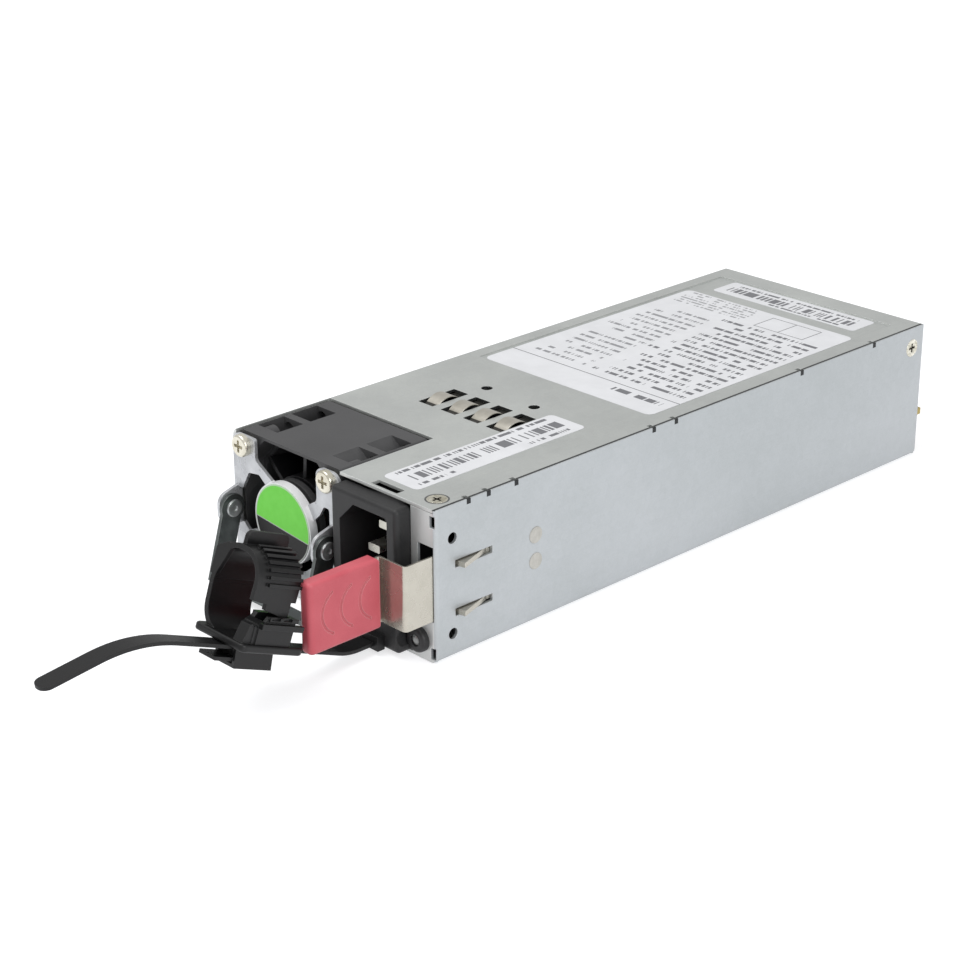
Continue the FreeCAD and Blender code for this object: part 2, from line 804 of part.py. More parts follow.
def fan_frame():
    """Square moulded duct with corner pockets, motor plate and four struts."""
    side = fan_size / 2
    low_x = fan_x - side
    low_z = fan_z - side
    stop = fan_front + fan_depth
    shell = prism("fan_block", "XZ", fan_front, stop, [
        (low_x, low_z, 1.2), (low_x + fan_size, low_z, 1.2),
        (low_x + fan_size, low_z + fan_size, 1.2), (low_x, low_z + fan_size, 1.2),
    ], circles=[(fan_x, fan_z, fan_bore_radius)])
    tools = []
    for across, up in fan_corners():
        tools.append(rod("fan_hole", "y", (across, fan_front - 1, up), fan_screw_shank, fan_depth + 2))
    duct = cut("fan_duct", shell, *tools, *corner_pockets())
    plate = tube("motor_plate", "XZ", fan_front, fan_front + motor_thick, fan_x, fan_z,
                 fan_hub_radius - 0.4, bearing_radius)
    struts = [motor_strut(angle) for angle in STRUT_ANGLES]
    keep("fan_frame", fused("fan_frame", duct, plate, *struts))


def motor_strut(angle):
    """One strut from the motor plate out to the duct."""
    strut = block("motor_strut", (fan_hub_radius - 1.4, 0, -0.7), (fan_bore_radius + 0.3, motor_thick, 0.7))
    holder = named("Part::Compound", "motor_strut_holder")
    holder.Links = [strut]
    holder.Placement = FreeCAD.Placement(FreeCAD.Vector(), FreeCAD.Rotation(FreeCAD.Vector(0, 1, 0), angle))
    return put(holder, fan_x, fan_front, fan_z)


pocket_margin = size("pocket_margin", 4.5)
pocket_rib = size("pocket_rib", 2.4)
pocket_reach = size("pocket_reach", 8.6)
pocket_wall = size("pocket_wall", 1.1)
pocket_depth = size("pocket_depth", 5.4)


def corner_pockets():
    """Wedge-shaped hollows in the duct's top and bottom, two along each corner."""
    pockets = []
    middle = fan_front + fan_depth / 2
    spans = [
        (fan_front + pocket_margin, middle - pocket_rib / 2),
        (middle + pocket_rib / 2, fan_front + fan_depth - pocket_margin),
    ]
    side = fan_size / 2
    for sign_x in (-1, 1):
        for sign_z in (-1, 1):
            for start, stop in spans:
                outer = fan_x + sign_x * (side - pocket_wall)
                pockets.append(prism("pocket_wedge", "XZ", start, stop, [
                    (outer, fan_z + sign_z * (side + 1)),
                    (outer, fan_z + sign_z * (side - pocket_depth)),
                    (fan_x + sign_x * (side - pocket_reach), fan_z + sign_z * side),
                    (fan_x + sign_x * (side - pocket_reach), fan_z + sign_z * (side + 1)),
                ]))
    return pockets


BLADES = 7


def fan_rotor():
    """Hub cup with seven twisted blades lofted between two leaning sections."""
    start = fan_front + motor_thick + rotor_gap
    stop = fan_front + fan_depth - 1
    body = named("PartDesign::Body", "rotor_blank")
    sketch = new_sketch(body, "XZ", 0)
    draw_circle(sketch, 0, 0, fan_hub_radius)
    pad = body.newObject("PartDesign::Pad", "rotor_hub")
    pad.Profile = sketch
    pad.Reversed = True
    bind(pad, "Length", stop - start)
    hollow_sketch = new_sketch(body, "XZ", 0)
    draw_circle(hollow_sketch, 0, 0, fan_hub_radius - 1)
    hollow = body.newObject("PartDesign::Pocket", "rotor_hollow")
    hollow.Profile = hollow_sketch
    hollow.Reversed = False
    bind(hollow, "Length", stop - start - hub_end_thick)
    blade_long = stop - start - 1
    tip = fan_bore_radius - blade_tip_gap
    root = blade_section(body, fan_hub_radius - 0.4, blade_long, 7.6)
    end = blade_section(body, tip, blade_long, 12.4)
    blade = body.newObject("PartDesign::AdditiveLoft", "rotor_blade")
    blade.Profile = root
    blade.Sections = [end]
    blade.Ruled = True
    pattern = body.newObject("PartDesign::PolarPattern", "rotor_blades")
    pattern.Originals = [blade]
    roles = {feature.Role: feature for feature in body.Origin.OriginFeatures}
    pattern.Axis = (roles["Y_Axis"], [""])
    pattern.Angle = 360
    pattern.Occurrences = BLADES
    body.Tip = pattern
    sweep = rod("rotor_sweep", "y", (0, -1, 0), tip, stop - start + 2)
    keep("fan_rotor", put(common("fan_rotor", body, sweep), fan_x, start, fan_z))


def blade_section(body, radius, long, sweep):
    """One curved blade section on a plane at a given radius from the axis."""
    sketch = new_sketch(body, "YZ", radius)
    thick = 0.9
    half_sweep = sweep / 2
    draw_outline(sketch, [
        (0.5, -half_sweep), (long * 0.5, -half_sweep * 0.35, 30), (long, half_sweep),
        (long - 0.3, half_sweep + thick * 0.6), (long * 0.5, thick - half_sweep * 0.35 + 0.5, 30),
        (0.5, thick - half_sweep + 0.3),
    ])
    return sketch


def fan_motor():
    """Shaft, bearing sleeve and wound stator on the fan's axis."""
    start = fan_front + 0.6
    keep("fan_bearing", tube("fan_bearing", "XZ", start, start + 14, fan_x, fan_z,
                             bearing_radius - 0.02, shaft_radius + shaft_gap))
    shaft_stop = fan_front + fan_depth - 1 - hub_end_thick
    keep("fan_shaft", tube("fan_shaft", "XZ", start + 0.6, shaft_stop, fan_x, fan_z, shaft_radius))
    coil_front = fan_front + motor_thick + 1.2
    ring = tube("stator_ring", "XZ", coil_front, coil_front + 9, fan_x, fan_z, 4.4, bearing_radius + 0.02)
    poles = []
    for angle in (0, 45, 90, 135):
        pole = block("stator_pole", (-7.6, 0.5, -1.4), (7.6, 8.5, 1.4))
        holder = named("Part::Compound", "stator_pole_holder")
        holder.Links = [pole]
        turn = FreeCAD.Rotation(FreeCAD.Vector(0, 1, 0), angle)
        holder.Placement = FreeCAD.Placement(FreeCAD.Vector(), turn)
        poles.append(put(holder, fan_x, coil_front, fan_z))
    bore = rod("stator_bore", "y", (fan_x, coil_front - 1, fan_z), bearing_radius + 0.02, 12)
    keep("fan_stator", cut("fan_stator", fused("stator_body", ring, *poles), bore))
    keep("rotor_magnet", tube("rotor_magnet", "XZ", coil_front, coil_front + 9, fan_x, fan_z,
                              fan_hub_radius - 1, fan_hub_radius - 2.2))


# ---------------------------------------------------------------- mains inlet
inlet_floor = size("inlet_floor", 0.9)
inlet_top = size("inlet_top", 37.6)
inlet_chamfer = size("inlet_chamfer", 5)
opening_left = inlet_left + (inlet_width - inlet_opening_width) / 2
opening_right = opening_left + inlet_opening_width
opening_top = inlet_opening_floor + inlet_opening_height


def inlet_housing():
    """Moulded three-pin inlet standing on edge, chamfered towards the fan."""
    rim = front - inlet_flange_depth
    flange = soften(prism("inlet_flange", "XZ", rim, front, [
        (inlet_left, inlet_floor), (inlet_right, inlet_floor),
        (inlet_right, inlet_top), (inlet_left, inlet_top),
    ]), 1.2, lambda edge: edge.BoundBox.YMax < number(rim) + 0.01 or runs_along("y")(edge))
    tail = prism("inlet_tail", "XZ", front - 0.5, rim + inlet_depth + inlet_wall,
                 opening_outline(inlet_wall))
    mouth = prism("inlet_mouth", "XZ", rim - 1, rim + inlet_depth, opening_outline(0))
    lamp_room = rod("lamp_room", "y", (led_x, rim - 1, led_z), led_radius + 0.3, inlet_flange_depth + 2)
    fit = 0.02
    slots = [
        block("pin_slot", (across - pin_wide / 2 - fit, rim + inlet_depth - 1, up - pin_thick / 2 - fit),
              (across + pin_wide / 2 + fit, rim + inlet_depth + inlet_wall + 1, up + pin_thick / 2 + fit))
        for across, up in pin_places().values()
    ]
    keep("inlet_housing", cut("inlet_housing", fused("inlet_body", flange, tail), mouth, lamp_room, *slots))


def opening_outline(grow):
    """The inlet's opening, or the same outline grown outwards."""
    left = opening_left - grow
    right = opening_right + grow
    low = inlet_opening_floor - grow
    high = opening_top + grow
    return [
        (left, low + inlet_chamfer), (left + inlet_chamfer, low), (right, low, 1),
        (right, high, 1), (left + inlet_chamfer, high), (left, high - inlet_chamfer),
    ]


pin_wide = size("pin_wide", 4)
pin_thick = size("pin_thick", 2)
pin_setback = size("pin_setback", 5)
pin_tail = size("pin_tail", 6)


def pin_places():
    """Centres of the three blades, by name."""
    middle_x = (opening_left + opening_right) / 2
    middle_z = (inlet_opening_floor + opening_top) / 2
    return {
        "line_pin": (middle_x + 2, middle_z - 7),
        "neutral_pin": (middle_x + 2, middle_z + 7),
        "earth_pin": (middle_x - 2, middle_z),
    }


def inlet_pins():
    """Line, neutral and earth blades pressed through the inlet's back wall."""
    rim = front - inlet_flange_depth
    stop = rim + inlet_depth + inlet_wall + pin_tail
    for label, (across, up) in pin_places().items():
        blade = prism(label, "XZ", rim + pin_setback, stop, [
            (across - pin_wide / 2, up - pin_thick / 2, 0.4),
            (across + pin_wide / 2, up - pin_thick / 2, 0.4),
            (across + pin_wide / 2, up + pin_thick / 2, 0.4),
            (across - pin_wide / 2, up + pin_thick / 2, 0.4),
        ])
        keep(label, blade)


# ---------------------------------------------------------------- status lamp
def status_lamp():
    """Round bezel snapped into the front flange with a small lens in it."""
    bezel = turned("led_bezel", [
        (1.5, -4), (led_radius - 0.8, -4), (led_radius - 0.8, 0), (led_radius, 0),
        (led_radius, 1.8, 0.8), (1.5, 1.8),
    ])
    lens = turned("led_lens", [(0, -3.5), (1.45, -3.5), (1.45, 1.2), (0.6, 1.7), (0, 1.7)])
    for label, thing in (("led_bezel", bezel), ("led_lens", lens)):
        thing.Placement = FreeCAD.Placement(FreeCAD.Vector(), FreeCAD.Rotation(FreeCAD.Vector(1, 0, 0), 90))
        keep(label, put(thing, led_x, front, led_z))


# ---------------------------------------------------------------- latch
latch_side_gap = size("latch_side_gap", 0.15)
latch_nose = size("latch_nose", 8.6)
latch_face = right_inside - latch_side_gap
hinge_y = front + latch_hinge_back
tab_left = size("tab_left", 25)
tab_back = size("tab_back", 10.2)
foot_long = size("foot_long", 7)
weld_radius = size("weld_radius", 2.1)
weld_low = size("weld_low", 16.2)
weld_high = size("weld_high", 23)


def latch():
    """Spring steel strip inside the right wall with two barbs and a moulded tab."""
    low = latch_floor
    high = latch_floor + latch_height
    outer = latch_face
    inner = latch_face - latch_thick
    nose = front - latch_nose
    strip = prism("latch_strip", "XY", low, high, [
        (inner, hinge_y - seam_gap), (inner, nose + latch_thick, 0.6),
        (tab_left + 1.6, nose + latch_thick, 0.6),
        (tab_left + 1.6, nose - 15), (tab_left + 1.6 + latch_thick, nose - 15),
        (tab_left + 1.6 + latch_thick, nose, 0.6), (outer, nose, 1.1), (outer, hinge_y - seam_gap),
    ])
    barbs = []
    for height in SLOT_HEIGHTS:
        thick = slot_tall / 2 - slide_gap
        barbs.append(prism("latch_barb", "XY", height - thick, height + thick, [
            (outer - 0.2, front + slot_start + 0.5), (half + barb_reach, front + slot_start + 1.1),
            (outer - 0.2, front + slot_stop - 0.5),
        ]))
    keep("latch_spring", fused("latch_spring", strip, *barbs))
    foot = block("latch_foot", (inner, hinge_y, low), (outer, hinge_y + foot_long, high))
    keep("latch_foot", foot)
    tab_low = (low + high - tab_height) / 2
    tab_high = tab_low + tab_height
    tab_front = front - tab_back - tab_length
    tab = soften(prism("latch_tab_blank", "XY", tab_low, tab_high, [
        (tab_left, tab_front, 1.4), (tab_left + tab_thick, tab_front, 1.4),
        (tab_left + tab_thick, front - tab_back), (tab_left, front - tab_back),
    ]), 1, lambda edge: edge.BoundBox.ZLength < 0.01)
    room = block("tab_room", (tab_left + 1.6, nose - 15, low),
                 (tab_left + 1.6 + latch_thick, front, high))
    keep("latch_tab", cut("latch_tab", tab, room, *thumb_grooves(tab_front, tab_low)))
    welds = []
    for height in (weld_low, weld_high):
        welds.append(rod("latch_weld", "x", (latch_face, hinge_y + foot_long / 2, height),
                         weld_radius, half - latch_face + 0.08))
    keep("latch_welds", group("latch_welds", *welds))


GROOVE_COUNT = 3
groove_first = size("groove_first", 3.2)
groove_pitch = size("groove_pitch", 5.6)
groove_radius = size("groove_radius", 6)
groove_wide = size("groove_wide", 0.6)
groove_depth = size("groove_depth", 0.3)


def thumb_grooves(tab_front, tab_low):
    """Three curved grooves in the tab's outer face that stop a thumb slipping."""
    face = tab_left + tab_thick
    middle = tab_low + tab_height / 2
    grooves = []
    for index in range(GROOVE_COUNT):
        centre = tab_front + groove_first + groove_radius + groove_pitch * index
        ring = tube("groove_ring", "YZ", face - groove_depth, face + 1, centre, middle,
                    groove_radius, groove_radius - groove_wide)
        side = block("groove_side", (face - 2, centre - groove_radius - 1, middle - groove_radius - 1),
                     (face + 2, centre - groove_radius * 0.4, middle + groove_radius + 1))
        grooves.append(common("thumb_groove", ring, side))
    return grooves


# ---------------------------------------------------------------- cord strap and clamp
anchor_back = size("anchor_back", 2)
anchor_height = size("anchor_height", 2.4)
tail_peak_ahead = size("tail_peak_ahead", 71.9)
tail_length = size("tail_length", 24.7)
tail_drop = size("tail_drop", 6.7)
strap_low_bend = size("strap_low_bend", 16)
strap_high_bend = size("strap_high_bend", 40)


def strap_path():
    """Corner points of the strap's centre line in Y and Z, front end last."""
    line_y = front - clamp_ahead
    slope = tangent(strap_tilt)
    low_turn = line_y + (clamp_height - anchor_height) / slope
    peak_y = front - tail_peak_ahead
    peak_z = clamp_height + (line_y - peak_y) * slope
    tip_y = peak_y - tail_length
    tip_z = peak_z - tail_length * tangent(tail_drop)
    return low_turn, peak_y, peak_z, tip_y, tip_z


def ladder_strap():
    """Nylon strap: flat foot, straight ratchet run and a drooping smooth tail."""
    low_turn, peak_y, peak_z, tip_y, tip_z = strap_path()
    hand = strap_thick / 2
    turn_shift = hand * tangent(strap_tilt / 2)
    peak_scale = hand / (1 + cosine(strap_tilt + tail_drop))
    peak_dy = peak_scale * (sine(strap_tilt) - sine(tail_drop))
    peak_dz = peak_scale * (cosine(strap_tilt) + cosine(tail_drop))
    tip_dy = -hand * sine(tail_drop)
    tip_dz = hand * cosine(tail_drop)
    start_y = front - inlet_flange_depth + anchor_back
    strap = prism("strap_band", "YZ", strap_centre - strap_width / 2, strap_centre + strap_width / 2, [
        (start_y, anchor_height - hand),
        (start_y, anchor_height + hand),
        (low_turn + turn_shift, anchor_height + hand, strap_low_bend - hand),
        (peak_y + peak_dy, peak_z + peak_dz, strap_high_bend + hand),
        (tip_y + tip_dy, tip_z + tip_dz),
        (tip_y - tip_dy, tip_z - tip_dz),
        (peak_y - peak_dy, peak_z - peak_dz, strap_high_bend - hand),
        (low_turn - turn_shift, anchor_height - hand, strap_low_bend + hand),
    ])
    soften(strap, strap_width * 0.46, lambda edge: edge.BoundBox.YMax < number(tip_y) + 0.5
           and edge.BoundBox.XLength < 0.01 and edge.BoundBox.ZLength < 1.5)
    return strap


def strap_anchor():
    """Small block under the inlet that the strap's foot snaps into."""
    rim = front - inlet_flange_depth
    return block("anchor_block", (strap_centre - 4, rim - 2.2, inlet_floor + 0.02),
                 (strap_centre + 4, rim - 0.02, anchor_height + 2.2))


def cord_strap():
    """The anchor and the strap that is pushed through it."""
    strap = ladder_strap()
    gap = 0.02
    slot = block("anchor_slot", (strap_centre - strap_width / 2 - gap, front - inlet_flange_depth - 3,
                                 anchor_height - strap_thick / 2 - gap),
                 (strap_centre + strap_width / 2 + gap, front, anchor_height + strap_thick / 2 + gap))
    keep("strap_anchor", cut("strap_anchor", strap_anchor(), slot))
    trim = block("strap_trim", (strap_centre - 5, front - inlet_flange_depth - 0.02, 0),
                 (strap_centre + 5, front + 2, 6))
    keep("ladder_strap", cut("ladder_strap", strap, trim, ratchet_rack()))


TOOTH_COUNT = 30
tooth_pitch = size("tooth_pitch", 1.3)
tooth_deep = size("tooth_deep", 0.3)
tooth_first = size("tooth_first", -20)
tooth_margin = size("tooth_margin", 0.7)


def ratchet_rack():
    """The gaps between the ratchet teeth, pressed into the strap's underside."""
    wide = strap_width / 2 - tooth_margin
    low = -strap_thick / 2
    gaps = []
    for index in range(TOOTH_COUNT):
        start = tooth_first + tooth_pitch * index
        gaps.append(prism("tooth_gap", "YZ", -wide, wide, [
            (start, low - 0.2), (start + tooth_pitch * 0.8, low - 0.2), (start + tooth_pitch * 0.8, low),
            (start + tooth_pitch * 0.1, low + tooth_deep), (start, low + tooth_deep),
        ]))
    return in_clamp_frame(group("ratchet_gaps", *gaps))


def in_clamp_frame(thing):
    """Place an object drawn along the strap: +Y back down the strap, +Z square to it."""
    thing.Placement = FreeCAD.Placement(FreeCAD.Vector(), FreeCAD.Rotation(FreeCAD.Vector(1, 0, 0), 0))
    thing.setExpression("Placement.Rotation.Angle", "-" + strap_tilt.text)
    return put(thing, strap_centre, front - clamp_ahead, clamp_height)


base_half = size("base_half", 8.8)
base_front = size("base_front", -9.4)
base_rear = size("base_rear", 9.2)
base_thick = size("base_thick", 1.9)
tunnel_gap = size("tunnel_gap", 0.15)
tunnel_wall = size("tunnel_wall", 0.85)
tunnel_drop = size("tunnel_drop", 4.4)
ring_half = size("ring_half", 7.7)
ring_wall = size("ring_wall", 1.2)
ring_left = size("ring_left", -8.9)
ring_rise = size("ring_rise", 22)
ring_front = size("ring_front", -8)
ring_back = size("ring_back", 4.8)
hinge_rise = size("hinge_rise", 12.4)
base_floor = strap_thick / 2 + tunnel_gap
base_top = base_floor + base_thick


catch_left = size("catch_left", 3.9)
catch_right = size("catch_right", 7)
catch_front = size("catch_front", -4)
catch_back = size("catch_back", 3.8)
housing_wall = size("housing_wall", 1.3)
housing_tall = size("housing_tall", 6.4)
lever_wide = size("lever_wide", 1.1)
lever_short = size("lever_short", 2.2)
pawl_long = size("pawl_long", 5.2)
flank_gap = size("flank_gap", 0.45)


def clamp_base():
    """Base plate, strap tunnel with its pawl, catch housing and the ring's fixed flank."""
    plate = soften(prism("clamp_plate", "XY", base_floor, base_top, [
        (-base_half, base_front, 1.5), (base_half, base_front, 1.5),
        (base_half, base_rear, 1.5), (-base_half, base_rear, 1.5),
    ]), 0.6, lambda edge: edge.BoundBox.ZLength < 0.01)
    wide = strap_width / 2 + tunnel_gap
    outer = wide + tunnel_wall
    bottom = base_floor - tunnel_drop - tunnel_wall
    tunnel = prism("clamp_tunnel", "YZ", -outer, outer, [
        (-6.4, base_floor + 0.5), (4.8, base_floor + 0.5), (5.8, bottom), (-5.4, bottom),
    ])
    hollow = block("clamp_hollow", (-wide, -12, base_floor - tunnel_drop), (wide, 12, base_floor))
    flank = ring_band("ring_flank", [
        block("flank_keep", (ring_left - 1, ring_front - 1, base_top - 0.4),
              (ring_left + ring_half, ring_back + 1, hinge_rise - flank_gap))])
    housing, cuts = catch_housing()
    solid = cut("clamp_solid", fused("clamp_body", plate, tunnel, flank, *housing), hollow, *cuts)
    pawl = block("strap_pawl", (-wide - 0.2, -5.8 - pawl_long, base_floor - tunnel_drop + 0.6),
                 (wide + 0.2, -5.4, base_floor - tunnel_drop + 1.5))
    keep("clamp_base", in_clamp_frame(fused("clamp_base", solid, pawl)))


def catch_housing():
    """The catch that takes the band's end: its walls, post and lever, then its slots."""
    left = catch_left - housing_wall
    right = catch_right + housing_wall * 0.7
    start = catch_front - housing_wall
    stop = catch_back + housing_wall
    top = base_top + housing_tall
    body = prism("catch_housing", "YZ", left, right, [
        (start, base_top - 0.3), (stop, base_top - 0.3), (stop, top),
        (catch_front + 0.8, top), (catch_front, top - 1.2), (start, top - 2),
    ])
    post = prism("catch_post", "YZ", 4.2, 7.4, [
        (start - 3.4, base_top - 0.3), (start - 0.6, base_top - 0.3), (start - 0.6, base_top + 3.2),
        (start - 1.6, base_top + 4.6), (start - 2.3, base_top + 4.2),
    ])
    shoulder = block("catch_shoulder", (5, start - 1, base_top - 0.3), (7.6, start + 0.2, base_top + 4.2))
    lever = block("catch_lever", (right - 0.3, start, top - 2.7),
                  (right + lever_wide, base_rear - lever_short, top - 1.4))
    rim = block("catch_rim", (left - 0.5, catch_front + 0.9, top - 0.9), (right + 0.5, stop + 0.3, top))
    slot = block("catch_slot", (catch_left, catch_front, base_top + 1.2), (catch_right, catch_back, top + 2))
    slits = [
        block("rim_slit", (right - 0.15, start_y, top - 0.6), (right + 0.7, start_y + 2.6, top + 0.2))
        for start_y in (catch_front + 1.4, catch_front + 4.9)
    ]
    return [body, post, shoulder, lever, rim], [slot, *slits]


ring_bulge = size("ring_bulge", 0.8)


def ring_band(name, keepers):
    """The oval band of the clamp, cut down to one stretch of it."""
    left = ring_left
    right = ring_left + 2 * ring_half
    low = base_top - 1.4
    high = base_floor + ring_rise
    middle = (low + high) / 2
    outer = ring_half - 0.8
    inner = outer - ring_wall
    band = prism(name + "_band", "XZ", ring_front, ring_back, [
        (left + ring_bulge, low, outer), (right, low, outer), (right, high, outer),
        (left + ring_bulge, high, outer), (left, middle, 16),
    ], holes=[[
        (left + ring_bulge + ring_wall, low + ring_wall, inner),
        (right - ring_wall, low + ring_wall, inner), (right - ring_wall, high - ring_wall, inner),
        (left + ring_bulge + ring_wall, high - ring_wall, inner), (left + ring_wall, middle, 15),
    ]])
    return common(name, band, fused(name + "_keep", *keepers))


RIB_COUNT = 7
rib_step = size("rib_step", 13.4)
rib_first = size("rib_first", 82)
rib_proud = size("rib_proud", 0.8)
rib_wide = size("rib_wide", 0.8)
rib_front = size("rib_front", -5)
rib_back = size("rib_back", 4.7)
thumb_rise = size("thumb_rise", 3)
thumb_thick = size("thumb_thick", 1.2)
thumb_back = size("thumb_back", 6)


def clamp_ring():
    """The band's moving part: over the top and down to the end that the catch takes."""
    right = ring_left + 2 * ring_half
    high = base_floor + ring_rise
    arch = ring_band("ring_arch", [
        block("arch_keep_left", (ring_left - 1, ring_front - 1, hinge_rise + flank_gap),
              (ring_left + ring_half, ring_back + 1, high + 1)),
        prism("arch_keep_right", "YZ", ring_left + ring_half - 0.01, right + 1, [
            (ring_front - 1, base_floor + 11.6), (catch_front + 0.3, base_floor + 10.8),
            (catch_front + 0.3, base_floor + 9.4), (catch_back - 0.4, base_floor + 7.6),
            (catch_back - 0.4, base_floor + 11.6), (ring_back + 1, base_floor + 11.6),
            (ring_back + 1, high + 1), (ring_front - 1, high + 1),
        ]),
    ])
    centre_x = right - ring_half + 0.8
    centre_z = high - ring_half + 0.8
    ribs = [grip_rib(index, centre_x, centre_z) for index in range(RIB_COUNT)]
    thumb_x = ring_left + 5.6
    thumb = prism("thumb_tab", "YZ", thumb_x, thumb_x + thumb_thick, [
        (ring_front + 1.7, high - 0.6), (thumb_back, high - 0.6), (thumb_back, high + thumb_rise, 1.6),
        (ring_front + 1.7, high + thumb_rise, 1.6),
    ])
    corner = prism("ring_corner", "XZ", ring_front, ring_front + 1.2, [
        (ring_left - 0.6, base_floor + 13), (ring_left + 1.2, base_floor + 13),
        (ring_left + 4.4, high - 1.4), (ring_left + 3, high - 0.7),
        (ring_left - 0.6, base_floor + 19.4, 0.5),
    ])
    keep("clamp_ring", in_clamp_frame(fused("clamp_ring", arch, thumb, corner, *ribs)))


def grip_rib(index, centre_x, centre_z):
    """One grip rib lying along the band, standing square on its rounded shoulder."""
    outer = ring_half - 0.8
    rib = block("grip_rib_bar", (outer - 0.3, rib_front, -rib_wide / 2),
                (outer + rib_proud, rib_back, rib_wide / 2))
    holder = named("Part::Compound", "grip_rib")
    holder.Links = [rib]
    holder.Placement = FreeCAD.Placement(FreeCAD.Vector(), FreeCAD.Rotation(FreeCAD.Vector(0, 1, 0), 1))
    holder.setExpression("Placement.Rotation.Angle", "-(%s)" % (rib_first - rib_step * index).text)
    return put(holder, centre_x, 0, centre_z)


# ---------------------------------------------------------------- ground springs
def ground_springs():
    """Four arched fingers on one strip that ground the case in its bay."""
    top = case_height - sheet_thick
    start = front + finger_back
    strip = []
    for index in range(FINGER_COUNT):
        left = finger_left + finger_pitch * index + 0.5
        strip.append(prism("ground_finger", "YZ", left, left + finger_wide - 1, [
            (start - 2, top - 0.35), (start + 2, top - 0.35, 3), (start + finger_long / 2, top + 2.3, 5),
            (start + finger_long - 2, top - 0.35, 3), (start + finger_long + 2, top - 0.35),
            (start + finger_long + 2, top - 0.05), (start + finger_long - 2.1, top - 0.05, 3),
            (start + finger_long / 2, top + 2.65, 5), (start + 2.1, top - 0.05, 3), (start - 2, top - 0.05),
        ]))
    for edge in (start - 4, start + finger_long + 1.4):
        strip.append(block("ground_bar", (finger_left - 1, edge, top - 0.35),
                           (finger_left + finger_pitch * FINGER_COUNT - 1, edge + 2.6, top - 0.05)))
    keep("ground_springs", fused("ground_springs", *strip))


# ---------------------------------------------------------------- board and its parts
board_front = front + size("board_setback", 33)
board_left = tray_left + sheet_thick + 0.6
board_right = right_inside - 1.6
board_top = board_height + board_thick
finger_gold = size("finger_gold", 0.1)
GOLD_COUNT = 24
standoff_radius = size("standoff_radius", 2.4)


def main_board():
    """Circuit board whose card edge passes out through the rear wall."""
    reach = card_edge_width / 2
    board = prism("main_board", "XY", board_height, board_top, [
        (board_left, board_front), (board_right, board_front), (board_right, back - 4),
        (reach, back - 4), (reach, back + card_edge_length, 0.8), (-reach, back + card_edge_length, 0.8),
        (-reach, back - 4), (board_left, back - 4),
    ], circles=[(x, y, 1.55) for x, y in standoff_places()])
    keep("main_board", board)
    pitch = (card_edge_width - 2) / GOLD_COUNT
    fingers = []
    for index in range(GOLD_COUNT):
        left = -reach + 1 + pitch * index + pitch * 0.14
        for low in (board_height - finger_gold, board_top):
            fingers.append(block("gold_finger", (left, back + 0.9, low),
                                 (left + pitch * 0.72, back + card_edge_length - 0.6, low + finger_gold)))
    keep("card_fingers", group("card_fingers", *fingers))


def standoff_places():
    """Centres of the four board standoffs."""
    return [(x, y) for x in (board_left + 5, board_right - 5) for y in (board_front + 6, back - 14)]


def standoffs():
    """Threaded posts on the tray floor and the screws that hold the board."""
    posts = []
    screws = []
    for x, y in standoff_places():
        post = tube("standoff", "XY", sheet_thick, board_height, x, y, standoff_radius, 1.3)
        posts.append(post)
        screw = turned("board_screw", [
            (0, -5), (1.25, -5), (1.25, 0), (2.6, 0), (2.6, 1.5, 0.6), (0, 1.5),
        ])
        recess = cross_recess("board_cross", 1.4, 0.8, 1.5)
        screws.append(put(cut("board_screw", screw, recess), x, y, board_top))
    keep("standoffs", group("standoffs", *posts))
    keep("board_screws", group("board_screws", *screws))


def wound_core(label, x, y, wide, long, tall):
    """A ferrite core: two end blocks and a wound middle, standing on the board."""
    z = board_top
    core = block(label + "_core", (x, y, z), (x + wide, y + long, z + tall))
    winding = block(label + "_winding", (x - 1.2, y + long * 0.22, z + 1.5),
                    (x + wide + 1.2, y + long * 0.78, z + tall - 1.5))
    keep(label, fused(label, core, winding))


def can(label, places, radius, length, axis):
    """Round capacitors with a crimped groove, standing or lying on the board."""
    cans = []
    for x, y in places:
        body = turned(label + "_can", [
            (0, 0), (radius, 0, 0.5), (radius, length * 0.09), (radius - 0.5, length * 0.12),
            (radius, length * 0.15), (radius, length, 0.7), (0, length),
        ])
        turn_to(body, axis)
        lift = board_top if axis == "z" else board_top + radius + 0.1
        cans.append(put(body, x, y, lift))
    keep(label, group(label, *cans))


def heat_sink(label, x, y, long, tall, fins):
    """An upright aluminium plate with short fins along its top."""
    z = board_top + 1
    outline = [
        (x, z), (x + 2, z), (x + 2, z + tall - 2),
        (x + fins, z + tall - 2), (x + fins, z + tall), (x, z + tall),
    ]
    keep(label, prism(label, "XZ", y, y + long, outline))


def toroid(label, x, y, outer, inner, tall):
    """A ring core standing flat on the board, wound all round."""
    ring = tube(label, "XY", board_top, board_top + tall, x, y, outer, inner)
    keep(label, soften(ring, 2, lambda edge: edge.Curve.TypeId == "Part::GeomCircle"))


